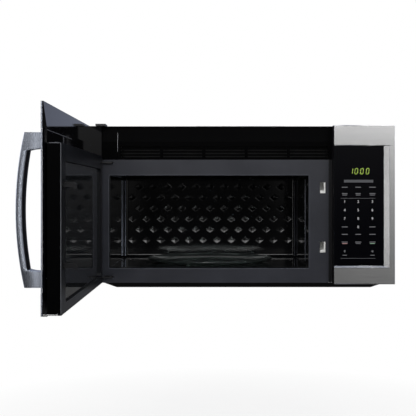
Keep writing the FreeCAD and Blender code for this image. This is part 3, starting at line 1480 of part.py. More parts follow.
# ---- power parts ----
def waveguide():
    """Folded channel that carries the microwaves to the cavity."""
    outer = box(BAY_X0, TUBE_X0, GUIDE_Y0, GUIDE_Y1, GUIDE_Z0, GUIDE_Z1)
    inner = box(
        BAY_X0, TUBE_X0 - SHEET, GUIDE_Y0 + SHEET, GUIDE_Y1 - SHEET,
        GUIDE_Z0 + SHEET, GUIDE_Z1 - SHEET,
    )
    hole = along_x(TUBE_X0 - SHEET, TUBE_X0, TUBE_Y, TUBE_Z, ANTENNA_R + FIT)
    return outer.cut(inner).cut(hole)


def waveguide_cover():
    """Thin sheet over the microwave port in the cavity wall."""
    x1 = CAVITY_X1
    lap = PORT_MARGIN / 2
    return box(x1 - MICA, x1, GUIDE_Y0 + lap, GUIDE_Y1 - lap, GUIDE_Z0 + lap, GUIDE_Z1 - lap)


def magnetron():
    """Magnetron with its yoke, cooling fins and antenna."""
    x0 = TUBE_X0
    x1 = x0 + TUBE_LENGTH
    y0 = TUBE_Y - TUBE_WIDTH / 2
    y1 = TUBE_Y + TUBE_WIDTH / 2
    z0 = TUBE_Z - TUBE_HEIGHT / 2
    z1 = TUBE_Z + TUBE_HEIGHT / 2
    plate = 2 * SHEET
    yoke = box(x0, x1, y0, y1, z0, z1)
    hollow = box(x0 + plate, x1 - plate, y0, y1, z0 + plate, z1 - plate)
    core = along_x(x0 + plate, x1 - plate, TUBE_Y, TUBE_Z, TUBE_HEIGHT / 5)
    parts = [yoke.cut(hollow), core]
    step = (x1 - x0 - 2 * plate) / (TUBE_FINS + 1)
    for i in range(TUBE_FINS):
        x = x0 + plate + (i + 1) * step
        parts.append(box(x - SHEET / 2, x + SHEET / 2, y0, y1, z0 + plate, z1 - plate))
    antenna = along_x(x0 - ANTENNA_LENGTH, x0, TUBE_Y, TUBE_Z, ANTENNA_R)
    filter_half = TUBE_HEIGHT / 3
    filter_box = box(
        x1, x1 + TUBE_HEIGHT / 4, TUBE_Y - filter_half, TUBE_Y + filter_half,
        TUBE_Z - filter_half, TUBE_Z + filter_half,
    )
    return parts[0].multiFuse(parts[1:] + [antenna, filter_box])


def transformer():
    """High-voltage transformer: laminated core with two coils."""
    x0 = BAY_X0 + TRANSFORMER_SIDE
    x1 = x0 + TRANSFORMER_WIDTH
    y1 = -TRANSFORMER_BACK
    y0 = y1 - TRANSFORMER_DEPTH
    z0 = FLOOR + SHEET
    z1 = z0 + TRANSFORMER_HEIGHT
    window = TRANSFORMER_WIDTH / 6
    middle = (x0 + x1) / 2
    leg = TRANSFORMER_WIDTH / 6
    low = z0 + leg
    high = z1 - leg
    core = box(x0, x1, y0, y1, z0, z1)
    left = box(x0 + leg, x0 + leg + window, y0, y1, low, high)
    right = box(x1 - leg - window, x1 - leg, y0, y1, low, high)
    core = core.cut(left).cut(right)
    inner = middle - x0 - leg - window
    split = (low + high) / 2
    coils = []
    for coil_z0, coil_z1 in [(low, split - FIT), (split + FIT, high)]:
        reach = inner + window
        coil = box(
            middle - reach, middle + reach, y0 - COIL_OVERHANG, y1 + COIL_OVERHANG,
            coil_z0, coil_z1,
        )
        coils.append(coil.cut(box(middle - inner, middle + inner, y0, y1, coil_z0, coil_z1)))
    return group([core] + coils)


def capacitor():
    """High-voltage capacitor can in its clip, with the diode beside it."""
    x1 = RIGHT - SHEET - FIT - COIL_OVERHANG
    x0 = x1 - CAPACITOR_WIDTH
    y0 = -CAPACITOR_BACK - CAPACITOR_DEPTH
    y1 = -CAPACITOR_BACK
    z0 = FLOOR + SHEET
    z1 = z0 + CAPACITOR_HEIGHT
    r = CAPACITOR_WIDTH / 2
    x = (x0 + x1) / 2
    can = join_all(
        [
            box(x0, x1, y0 + r, y1 - r, z0, z1),
            along_z(x, y0 + r, z0, z1, r),
            along_z(x, y1 - r, z0, z1, r),
        ]
    )
    studs = []
    for y in [y0 + r, y1 - r]:
        studs.append(along_z(x, y, z1, z1 + CUTOUT_HEIGHT, DIODE_R))
    diode_x = x0 - 3 * DIODE_R
    diode = along_z(diode_x, y1 - r, z0, z0 + DIODE_LENGTH, DIODE_R)
    return group([join_all([can] + studs), diode])


def cooling_fan_frame():
    """Square fan frame on a bracket from the floor sheet."""
    half = COOLER_SIZE / 2
    y1 = COOLER_Y1
    y0 = y1 - COOLER_DEPTH
    body = box(COOLER_X - half, COOLER_X + half, y0, y1, COOLER_Z - half, COOLER_Z + half)
    throat = along_y(COOLER_X, y0, y1, COOLER_Z, COOLER_BLADE_R + 4 * FIT)
    tray = FLOOR + SHEET
    leg = box(
        COOLER_X + half - 2 * SHEET, COOLER_X + half, y0, y1, tray, COOLER_Z - half
    )
    bars = box(
        COOLER_X - half, COOLER_X + half, y1, y1 + 2 * SHEET, COOLER_Z - COOLER_MOTOR_R / 2,
        COOLER_Z + COOLER_MOTOR_R / 2,
    )
    bore = along_y(COOLER_X, y1, y1 + 2 * SHEET, COOLER_Z, SHAFT_R + FIT)
    return join_all([body.cut(throat), leg, bars]).cut(bore)


def cooling_fan_motor():
    """Motor on the fan frame's crossbar."""
    y0 = COOLER_Y1 + 2 * SHEET
    y1 = y0 + COOLER_MOTOR_LENGTH
    can = along_y(COOLER_X, y0, y1, COOLER_Z, COOLER_MOTOR_R)
    return can.cut(along_y(COOLER_X, y0, y1 - SHEET, COOLER_Z, SHAFT_R + SHAFT_FIT))


def cooling_fan_blade():
    """Plastic fan with flat blades, on the motor's shaft."""
    y1 = COOLER_Y1 - 2 * SHEET
    y0 = COOLER_Y1 - COOLER_DEPTH + 2 * SHEET
    middle = (y0 + y1) / 2
    hub = along_y(COOLER_X, y0, y1, COOLER_Z, COOLER_MOTOR_R / 2)
    shaft = along_y(COOLER_X, y0, COOLER_Y1 + COOLER_MOTOR_LENGTH - SHEET, COOLER_Z, SHAFT_R)
    parts = [shaft]
    for i in range(COOLER_BLADES):
        blade = box(
            COOLER_X - COOLER_BLADE_R / 4, COOLER_X + COOLER_BLADE_R / 4,
            middle - SHEET, middle + SHEET,
            COOLER_Z + COOLER_MOTOR_R / 4, COOLER_Z + COOLER_BLADE_R - 4 * SHEET,
        )
        blade.rotate(point(COOLER_X, middle, COOLER_Z), point(0, 0, 1), 30)
        blade.rotate(
            point(COOLER_X, middle, COOLER_Z), point(0, 1, 0), 360.0 * i / COOLER_BLADES
        )
        parts.append(blade)
    return hub.multiFuse(parts)


def thermal_cutouts():
    """Two round cut-outs, on the cavity roof and on the magnetron."""
    x = (TABLE_X + CAVITY_X1) / 2
    roof = along_z(x, TABLE_Y, CAVITY_Z1 + SHEET, CAVITY_Z1 + SHEET + CUTOUT_HEIGHT, CUTOUT_R)
    top = TUBE_Z + TUBE_HEIGHT / 2
    on_tube = along_z(TUBE_X0 + TUBE_LENGTH / 2, TUBE_Y, top, top + CUTOUT_HEIGHT, CUTOUT_R)
    return group([roof, on_tube])


def cavity_lamp():
    """Lamp holder on the cavity roof near the bay."""
    x1 = CAVITY_X1 - LAMP_BOX / 2
    x0 = x1 - LAMP_BOX
    y = TABLE_Y
    z0 = CAVITY_Z1 + SHEET
    half = LAMP_BOX / 2
    shade = box(x0, x1, y - half, y + half, z0, z0 + half)
    hollow = box(
        x0 + SHEET, x1 - SHEET, y - half + SHEET, y + half - SHEET, z0, z0 + half - SHEET
    )
    bulb = along_x(x0 + SHEET, x1 - LAMP_BOX / 3, y, z0 + half / 2, BULB_R / 1.5)
    return group([shade.cut(hollow), bulb])


# ---- names and files ----
CABINET_PIECES = {
    "outer_cabinet": outer_cabinet,
    "back_panel": back_panel,
    "chassis_floor": chassis_floor,
    "base_pan": base_pan,
    "face_frame": face_frame,
    "cavity_liner": cavity_liner,
    "cavity_floor": cavity_floor,
    "cavity_rear_wall": cavity_rear_wall,
    "vent_grille": vent_grille,
    "grille_end_block": grille_end_block,
    "charcoal_filter": charcoal_filter,
    "top_hinge_tab": top_hinge_tab,
    "control_panel_frame": control_panel_frame,
    "control_panel_housing": control_panel_housing,
    "control_glass": control_glass,
    "keypad_membrane": keypad_membrane,
    "control_board": control_board,
    "latch_board": latch_board,
    "interlock_switches": interlock_switches,
    "hinge_brackets": hinge_brackets,
    "cooktop_lenses": cooktop_lenses,
    "cooktop_lamps": cooktop_lamps,
    "cavity_lamp": cavity_lamp,
    "turntable_motor": turntable_motor,
    "waveguide": waveguide,
    "waveguide_cover": waveguide_cover,
    "magnetron": magnetron,
    "high_voltage_transformer": transformer,
    "high_voltage_capacitor": capacitor,
    "cooling_fan_frame": cooling_fan_frame,
    "cooling_fan_motor": cooling_fan_motor,
    "thermal_cutouts": thermal_cutouts,
    "blower_housing": blower_housing,
    "blower_motor": blower_motor,
    "exhaust_adapter": exhaust_adapter,
    "cord_bushing": cord_bushing,
    "turntable_coupler": turntable_coupler,
    "glass_turntable": glass_turntable,
    "roller_ring": roller_ring,
    "cooling_fan_blade": cooling_fan_blade,
    "blower_wheels": blower_wheels,
    "damper_flap": damper_flap,
}

DOOR_PIECES = {
    "door_outer_frame": door_outer_frame,
    "door_glass": door_glass,
    "door_top_cover": door_top_cover,
    "door_inner_frame": door_inner_frame,
    "door_choke": door_choke,
    "door_screen": door_screen,
    "door_window": door_window,
    "handle_bar": handle_bar,
    "handle_liner": handle_liner,
    "handle_feet": handle_feet,
    "handle_screws": handle_screws,
    "latch_slider": latch_slider,
    "latch_spring": latch_spring,
}


def save(name, shape):
    shape.exportStep("parts/" + name + ".step")


def main():
    os.makedirs("parts", exist_ok=True)
    for name, build in CABINET_PIECES.items():
        save(name, build())
    for side, x in zip(["left", "right"], grease_centres()):
        save("grease_filter_" + side, grease_filter(x))
    for i in range(ROLLER_COUNT):
        save("roller_" + str(i + 1), roller(i))
    for name, build in DOOR_PIECES.items():
        save(name, swung_open(build()))


main()
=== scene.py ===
import json
import math

import bmesh
import bpy
import numpy as np
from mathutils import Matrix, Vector


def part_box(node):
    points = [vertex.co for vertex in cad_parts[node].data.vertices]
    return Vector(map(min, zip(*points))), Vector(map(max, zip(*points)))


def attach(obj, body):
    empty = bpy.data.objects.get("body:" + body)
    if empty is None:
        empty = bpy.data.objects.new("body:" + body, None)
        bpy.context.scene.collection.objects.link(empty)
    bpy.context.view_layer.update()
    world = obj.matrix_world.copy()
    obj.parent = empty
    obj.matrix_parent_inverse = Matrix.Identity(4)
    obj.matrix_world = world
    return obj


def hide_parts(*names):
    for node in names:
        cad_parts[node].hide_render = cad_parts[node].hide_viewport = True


bl_info = {
    "name": "Over the range microwave",
    "version": (1, 0, 0),
    "blender": (4, 5, 0),
    "location": "View3D > Sidebar > Microwave",
    "description": "Finishes and fine shapes of a wall-hung microwave oven",
    "category": "Object",
}

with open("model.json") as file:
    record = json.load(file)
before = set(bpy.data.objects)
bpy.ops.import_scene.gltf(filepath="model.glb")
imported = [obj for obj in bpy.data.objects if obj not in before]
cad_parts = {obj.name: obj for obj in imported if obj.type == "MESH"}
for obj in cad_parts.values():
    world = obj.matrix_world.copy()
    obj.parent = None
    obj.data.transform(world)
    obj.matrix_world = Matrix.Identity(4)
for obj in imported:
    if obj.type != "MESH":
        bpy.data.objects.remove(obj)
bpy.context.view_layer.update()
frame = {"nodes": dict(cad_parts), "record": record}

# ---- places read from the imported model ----

DOOR_LO, DOOR_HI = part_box("door_outer_frame")
PANEL_LO, PANEL_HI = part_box("control_panel_frame")
GLASS_LO, GLASS_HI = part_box("control_glass")
DOOR_GLASS_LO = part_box("door_glass")[0]
HANDLE_LO, HANDLE_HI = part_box("handle_bar")
FEET_LO, FEET_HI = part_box("handle_feet")
REAR_LO, REAR_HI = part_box("cavity_rear_wall")
TRAY_LO, TRAY_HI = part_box("glass_turntable")
FACE_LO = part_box("face_frame")[0]
CASE_LO, CASE_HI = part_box("outer_cabinet")
INNER_LO, INNER_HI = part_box("door_inner_frame")
GRILLE_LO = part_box("vent_grille")[0]
FLOOR_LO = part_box("cavity_floor")[0]

# ---- sizes of the fine pieces, in metres ----

SURFACE_GAP = 0.00006  # printed marks in front of the control glass
GLASS_LAP = 0.0025  # how far the bands reach over a glass
GLASS_RECESS = 0.0035  # how far a glass lies behind the bands
SIDE_BAND = 0.0136
SIDE_SLOPE = 0.0140
FOOT_SLOPE = 0.0045
BAND_SHEET = 0.0008
DOOR_RETURN = 0.0116  # depth of the door bands' edges beside the hinge and below
HEM = 0.0008  # flat strip beside each fold of the bands
FOLD_AREA = 0.0003  # a face below this area, in square metres, belongs to a fold
HANDLE_SHEET = 0.0125  # thickness of the bow in its middle
HANDLE_RISE = 0.0164  # how much further the bow's middle stands out than its ends
HANDLE_FOOT = 0.0310
HANDLE_NECK = 0.0025  # height over which the bow's inner face turns into a foot
CAVITY_SHEET = 0.0010
CAVITY_CORNER = 0.0030
REAR_FOLD = 0.0080
REAR_MIDDLE_Z = -0.0242
DIAMOND_PITCH = Vector((0.0424, 0.0319))
DIAMOND_STEP = Vector((DIAMOND_PITCH.x / 32, DIAMOND_PITCH.y / 24))
DIAMOND_HALF = Vector((0.0124, 0.0096))
DIAMOND_SOFT = 0.045
DIAMOND_ROWS, DIAMOND_COLUMNS = 6, 11
KEY_COLUMNS = (0.2530, 0.2870, 0.3230)
DIGIT_ROWS = (("123", 0.0155), ("456", -0.0060), ("789", -0.0275))

WHITE = (1.0, 1.0, 1.0, 1.0)


# ---- sizes and colours that a user would change ----


class MicrowaveLook(bpy.types.PropertyGroup):
    """Finish colours and small sizes of the oven."""

    steel: bpy.props.FloatVectorProperty(
        name="Stainless",
        description="Colour of the brushed stainless steel",
        default=(0.58, 0.58, 0.58), subtype="COLOR", min=0.0, max=1.0,
    )
    face_grey: bpy.props.FloatVectorProperty(
        name="Face enamel",
        description="Colour of the painted face round the cavity's opening",
        default=(0.021, 0.0225, 0.030), subtype="COLOR", min=0.0, max=1.0,
    )
    cavity_grey: bpy.props.FloatVectorProperty(
        name="Cavity enamel",
        description="Colour of the glossy enamel inside the cavity",
        default=(0.004, 0.0042, 0.005), subtype="COLOR", min=0.0, max=1.0,
    )
    clock_light: bpy.props.FloatVectorProperty(
        name="Clock light",
        description="Colour of the lit clock digits",
        default=(0.46, 0.66, 0.10), subtype="COLOR", min=0.0, max=1.0,
    )
    legend_ink: bpy.props.FloatVectorProperty(
        name="Legend ink",
        description="Colour of the printed key legends",
        default=(0.13, 0.13, 0.14), subtype="COLOR", min=0.0, max=1.0,
    )
    clock_height: bpy.props.FloatProperty(
        name="Clock height",
        description="Height of the clock digits",
        default=0.0140, unit="LENGTH", min=0.005,
    )
    digit_height: bpy.props.FloatProperty(
        name="Key digit height",
        description="Height of the digits printed on the number keys",
        default=0.0065, unit="LENGTH", min=0.002,
    )
    diamond_depth: bpy.props.FloatProperty(
        name="Diamond depth",
        description="Depth of the diamonds pressed into the cavity's rear wall",
        default=0.0022, unit="LENGTH", min=0.0,
    )
    fold_radius: bpy.props.FloatProperty(
        name="Fold radius",
        description="Outer radius of the stainless sheet's folds",
        default=0.0012, unit="LENGTH", min=0.0002,
    )


# ---- meshes from grids and profiles ----


def grid_faces(rows, columns, close_rows=False, close_columns=False):
    """Quads (i, j), (i, j+1), (i+1, j+1), (i+1, j) of a rows x columns grid."""
    i = np.arange(rows if close_rows else rows - 1)
    j = np.arange(columns if close_columns else columns - 1)
    i, j = np.meshgrid(i, j, indexing="ij")
    i1 = (i + 1) % rows
    j1 = (j + 1) % columns
    corners = [i * columns + j, i * columns + j1, i1 * columns + j1, i1 * columns + j]
    return np.stack(corners, axis=-1).reshape(-1, 4)


def grid_part(loops, close_rows=False, close_columns=False):
    """Points and faces of a grid whose rows are loops of equal length."""
    loops = np.array(loops, dtype=float)
    faces = grid_faces(loops.shape[0], loops.shape[1], close_rows, close_columns)
    return loops.reshape(-1, 3), faces.tolist()


def tube_part(loops):
    """Closed tube through loops of equal length, with a face over each end."""
    points, faces = grid_part(loops, close_columns=True)
    count = len(loops[0])
    faces.append(list(range(count)))
    faces.append(list(range(len(points) - count, len(points)))[::-1])
    return points, faces


def make_object(name, points, faces, sharp_degrees=40.0, weld=True):
    """Object at the origin whose mesh holds these points, its faces turned outwards."""
    mesh = bpy.data.meshes.new(name)
    mesh.from_pydata(np.asarray(points, dtype=float).reshape(-1, 3).tolist(), [], faces)
    build = bmesh.new()
    build.from_mesh(mesh)
    if weld:
        bmesh.ops.remove_doubles(build, verts=build.verts, dist=1e-6)
    bmesh.ops.recalc_face_normals(build, faces=build.faces)
    build.to_mesh(mesh)
    build.free()
    mesh.shade_smooth()
    mesh.set_sharp_from_angle(angle=math.radians(sharp_degrees))
    piece = bpy.data.objects.new(name, mesh)
    bpy.context.scene.collection.objects.link(piece)
    return piece


def turn_faces(piece, picked):
    """Turns over the faces that a function picks out of all the piece's faces."""
    build = bmesh.new()
    build.from_mesh(piece.data)
    bmesh.ops.reverse_faces(build, faces=picked(build.faces))
    build.to_mesh(piece.data)
    build.free()


def turn_towards(piece, direction):
    """Turns an open sheet over where its faces look away from a direction on the whole."""

    def picked(faces):
        total = sum(face.normal.dot(Vector(direction)) * face.calc_area() for face in faces)
        return list(faces) if total < 0 else []

    turn_faces(piece, picked)


def joined(parts):
    """One list of points and faces from several (points, faces) pairs."""
    points = []
    faces = []
    start = 0
    for part_points, part_faces in parts:
        part_points = np.asarray(part_points, dtype=float).reshape(-1, 3)
        points.append(part_points)
        faces += [[int(k) + start for k in face] for face in part_faces]
        start += len(part_points)
    return np.concatenate(points), faces


def box_part(lo, hi):
    """The eight corners and six faces of a block between two corners."""
    x, y, z = np.meshgrid([0, 1], [0, 1], [0, 1], indexing="ij")
    unit = np.stack([x, y, z], axis=-1).reshape(-1, 3)
    points = np.asarray(lo) + unit * (np.asarray(hi) - np.asarray(lo))
    faces = [[0, 1, 3, 2], [4, 6, 7, 5], [0, 4, 5, 1], [2, 3, 7, 6], [0, 2, 6, 4], [1, 5, 7, 3]]
    return points, faces


def revolved(profile, centre, steps):
    """Points centre + (r cos a, r sin a, z) for each (r, z) of a closed profile."""
    profile = np.asarray(profile, dtype=float)
    angle = 2 * np.pi * np.arange(steps) / steps
    r = profile[:, 0][:, None]
    x = centre[0] + r * np.cos(angle)
    y = centre[1] + r * np.sin(angle)
    z = np.repeat(profile[:, 1][:, None], steps, axis=1)
    return grid_part(np.stack([x, y, z], axis=-1), close_columns=True)


def turned(part, matrix, offset):
    """The part's points p replaced by matrix p + offset."""
    points, faces = part
    return np.asarray(points) @ np.asarray(matrix, dtype=float).T + np.asarray(offset), faces


def rounded_outline(a0, a1, b0, b1, radius, steps):
    """Rounded rectangle, centre + radius (cos t, sin t) over four quarter circles."""
    arc = np.linspace(0.0, np.pi / 2, steps)
    angle = np.concatenate([arc + quarter * np.pi / 2 for quarter in range(4)])
    a = np.repeat([a1 - radius, a0 + radius, a0 + radius, a1 - radius], steps)
    b = np.repeat([b1 - radius, b1 - radius, b0 + radius, b0 + radius], steps)
    return a + radius * np.cos(angle), b + radius * np.sin(angle)


def level_loop(x0, x1, y_middle, width, radius, z):
    """Rounded rectangle in a level plane."""
    y0, y1 = y_middle - width / 2, y_middle + width / 2
    x, y = rounded_outline(x0, x1, y0, y1, radius, 5)
    return np.stack([x, y, np.full_like(x, z)], axis=-1)


def upright_loop(sides, inset, y):
    """Rounded rectangle in an upright plane, pulled in from its four sides by an inset."""
    x0, x1, z0, z1 = sides
    radius = max(CAVITY_CORNER - inset, 0.0006)
    x, z = rounded_outline(x0 + inset, x1 - inset, z0 + inset, z1 - inset, radius, 7)
    return np.stack([x, np.full_like(x, y), z], axis=-1)


def finish_piece(piece, material, body, slot, *replaced):
    """Gives a piece its material and its body, and hides the nodes it stands for; the slot is not
    used.
    """
    piece.data.materials.append(material)
    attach(piece, body)
    if replaced:
        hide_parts(*replaced)
    return piece


def add_bevel(piece, width):
    """Rounds the piece's sharp edges."""
    bevel = piece.modifiers.new("edge", "BEVEL")
    bevel.width = width
    bevel.segments = 2
    bevel.limit_method = "ANGLE"
    bevel.angle_limit = math.radians(35.0)
    bevel.harden_normals = True


def add_sheet(piece, thickness, side):
    """Gives an open sheet its thickness, to the side that it faces where side is 1."""
    sheet = piece.modifiers.new("sheet", "SOLIDIFY")
    sheet.thickness = thickness
    sheet.offset = side


def blocks(name, corners, material, body, slot, bevel=0.0):
    """Piece made of blocks, each between two corners."""
    parts = [box_part(lo, hi) for lo, hi in corners]
    piece = make_object(name, *joined(parts), weld=False)
    if bevel:
        add_bevel(piece, bevel)
    finish_piece(piece, material, body, slot)


# ---- node trees ----


def add_node(tree, kind, inputs=None, **settings):
    """New node with its settings; each input takes a value or the socket that feeds it."""
    node = tree.nodes.new("ShaderNode" + kind)
    for key, value in settings.items():
        setattr(node, key, value)
    for key, value in (inputs or {}).items():
        if isinstance(value, bpy.types.NodeSocket):
            tree.links.new(value, node.inputs[key])
        else:
            node.inputs[key].default_value = value
    return node


def combined(tree, operation, a, b):
    """Product, larger one or other blend of two values."""
    return add_node(tree, "Math", {0: a, 1: b}, operation=operation).outputs[0]


def ranged(tree, value, source, target, steps="LINEAR"):
    """Value over the target range, as the given one goes over the source range."""
    inputs = {"Value": value, "From Min": source[0], "From Max": source[1]}
    inputs.update({"To Min": target[0], "To Max": target[1]})
    return add_node(tree, "MapRange", inputs, interpolation_type=steps).outputs["Result"]


def mixed(tree, share, first, second):
    """The first shader, or the second one where the share is 1."""
    return add_node(tree, "MixShader", {0: share, 1: first, 2: second}).outputs[0]


# ---- materials ----


class Finish:
    """One node material and short ways to wire its procedural parts."""

    def __init__(self, name, scale=(1.0, 1.0, 1.0)):
        self.material = bpy.data.materials.new(name)
        self.material.use_nodes = True
        self.tree = self.material.node_tree
        self.shader = self.tree.nodes["Principled BSDF"]
        place = add_node(self.tree, "TexCoord").outputs["Object"]
        mapping = add_node(self.tree, "Mapping", {"Scale": scale, "Vector": place})
        self.place = mapping.outputs["Vector"]

    def set(self, **values):
        """Sets plain values on the shader's own sockets."""
        for key, value in values.items():
            self.shader.inputs[key.replace("_", " ")].default_value = value

    def feed(self, socket, source):
        """Links a socket of the shader to what feeds it."""
        self.tree.links.new(source, self.shader.inputs[socket])

    def noise(self, scale, detail=3.0, roughness=0.55):
        """Noise over the object's own place, from 0 to 1."""
        inputs = {"Scale": scale, "Detail": detail, "Roughness": roughness}
        inputs["Vector"] = self.place
        return add_node(self.tree, "TexNoise", inputs).outputs["Fac"]

    def cells(self, scale, feature="F1"):
        """Cell pattern; its colour differs from cell to cell."""
        inputs = {"Scale": scale, "Vector": self.place}
        return add_node(self.tree, "TexVoronoi", inputs, feature=feature)

    def waves(self, scale, direction):
        """Straight bands along one axis."""
        inputs = {"Scale": scale, "Vector": self.place}
        return add_node(self.tree, "TexWave", inputs, bands_direction=direction).outputs["Fac"]

    def colour(self, value, dark, light, low=0.3, high=0.7):
        """Base colour that goes from dark to light as the value goes from low to high."""
        ramp = add_node(self.tree, "ValToRGB", {"Fac": value})
        first, last = ramp.color_ramp.elements
        first.position, first.color = low, (*dark, 1.0)
        last.position, last.color = high, (*light, 1.0)
        self.feed("Base Color", ramp.outputs["Color"])

    def rough(self, value, low, high):
        """Roughness between low and high."""
        self.feed("Roughness", ranged(self.tree, value, (0.0, 1.0), (low, high)))

    def bump(self, value, depth, strength):
        """Relief of a given depth in metres."""
        inputs = {"Strength": strength, "Distance": depth, "Height": value}
        self.feed("Normal", add_node(self.tree, "Bump", inputs).outputs["Normal"])


def tint(colour, factor):
    """The colour times a factor, kept under 1."""
    return tuple(min(1.0, channel * factor) for channel in colour)


GRAIN_DEPTH = 0.00001


def brushed_steel(name, along, colour, base=0.30):
    """Stainless steel with fine lines along one axis."""
    scale = [900.0, 900.0, 900.0]
    scale["xyz".index(along)] = 14.0
    finish = Finish(name, scale)
    lines = finish.noise(1.0, detail=5.0, roughness=0.65)
    finish.colour(lines, tint(colour, 0.90), tint(colour, 1.07), 0.25, 0.75)
    finish.rough(lines, base - 0.02, base + 0.05)
    finish.bump(lines, GRAIN_DEPTH, 0.10)
    finish.set(Metallic=1.0)
    return finish.material


def enamel(name, colour, low, high, speck=1100.0, gloss=0.5):
    """Baked enamel with a fine orange-peel surface."""
    finish = Finish(name)
    cloud = finish.noise(14.0, detail=3.0)
    finish.colour(cloud, tint(colour, 0.88), tint(colour, 1.14))
    finish.rough(cloud, low, high)
    finish.bump(finish.noise(speck, detail=2.0), GRAIN_DEPTH, 0.35)
    finish.set(Specular_IOR_Level=gloss)
    return finish.material


def moulded(name, colour, low, high, grain=True, gloss=0.5):
    """Smooth paint, or moulded plastic or rubber with a light grain."""
    finish = Finish(name)
    cloud = finish.noise(22.0)
    finish.colour(cloud, tint(colour, 0.85), tint(colour, 1.2))
    finish.rough(cloud, low, high)
    if grain:
        finish.bump(finish.noise(1400.0, detail=2.0), GRAIN_DEPTH, 0.4)
    finish.set(Specular_IOR_Level=gloss)
    return finish.material


def metal(name, colour, low, high, cells=0.0):
    """Plain metal, with zinc flowers where cells is set."""
    finish = Finish(name)
    if cells:
        flowers = finish.cells(cells).outputs["Color"]
        value = add_node(finish.tree, "SeparateColor", {"Color": flowers}).outputs[0]
    else:
        value = finish.noise(160.0, detail=4.0)
    finish.colour(value, tint(colour, 0.92), tint(colour, 1.06), 0.1, 0.9)
    finish.rough(value, low, high)
    finish.bump(finish.noise(700.0), GRAIN_DEPTH, 0.3)
    finish.set(Metallic=1.0)
    return finish.material


def dark_glass(name, colour, low, high, transmission=0.0, gloss=0.5):
    """Smooth glass, black behind or darkly clear."""
    finish = Finish(name)
    cloud = finish.noise(9.0, detail=2.0)
    finish.colour(cloud, tint(colour, 0.85), tint(colour, 1.15))
    finish.rough(cloud, low, high)
    finish.set(IOR=1.5, Transmission_Weight=transmission, Specular_IOR_Level=gloss)
    return finish.material


def clear_glass(name, colour, low, high, clear=0.92):
    """Clear glass with a light tint."""
    finish = Finish(name)
    cloud = finish.noise(30.0, detail=2.0)
    finish.colour(cloud, tint(colour, 0.96), colour)
    finish.rough(cloud, low, high)
    finish.set(IOR=1.5, Transmission_Weight=clear)
    return finish.material


def woven(name, colour, pitch, metallic, low, high, depth):
    """Crossed wires or threads at a given pitch in metres."""
    finish = Finish(name)
    scale = math.pi / pitch / 10.0
    wires = [finish.waves(scale, direction) for direction in "XY"]
    knit = combined(finish.tree, "MULTIPLY", *wires)
    finish.colour(knit, tint(colour, 0.25), tint(colour, 1.15), 0.05, 0.6)
    finish.rough(knit, high, low)
    finish.bump(knit, depth, 0.8)
    finish.set(Metallic=metallic)
    return finish.material


def circuit_board_finish():
    """Green lacquered board with darker lines between its cells."""
    finish = Finish("green_board")
    tracks = finish.cells(260.0, "DISTANCE_TO_EDGE").outputs["Distance"]
    finish.colour(tracks, (0.10, 0.26, 0.11), (0.02, 0.11, 0.045), 0.02, 0.10)
    finish.rough(tracks, 0.30, 0.5)
    finish.bump(tracks, 0.0002, 0.4)
    return finish.material


def glowing(name, colour, strength):
    """Lit parts of the clock."""
    finish = Finish(name)
    cloud = finish.noise(500.0)
    finish.colour(cloud, tint(colour, 0.9), colour)
    finish.set(Roughness=0.4, Emission_Color=(*colour, 1.0), Emission_Strength=strength)
    return finish.material


def printed(name, colour):
    """Ink of the key legends."""
    finish = Finish(name)
    finish.colour(finish.noise(1500.0), tint(colour, 0.8), tint(colour, 1.1))
    finish.set(Roughness=0.5)
    return finish.material


MADE = {}


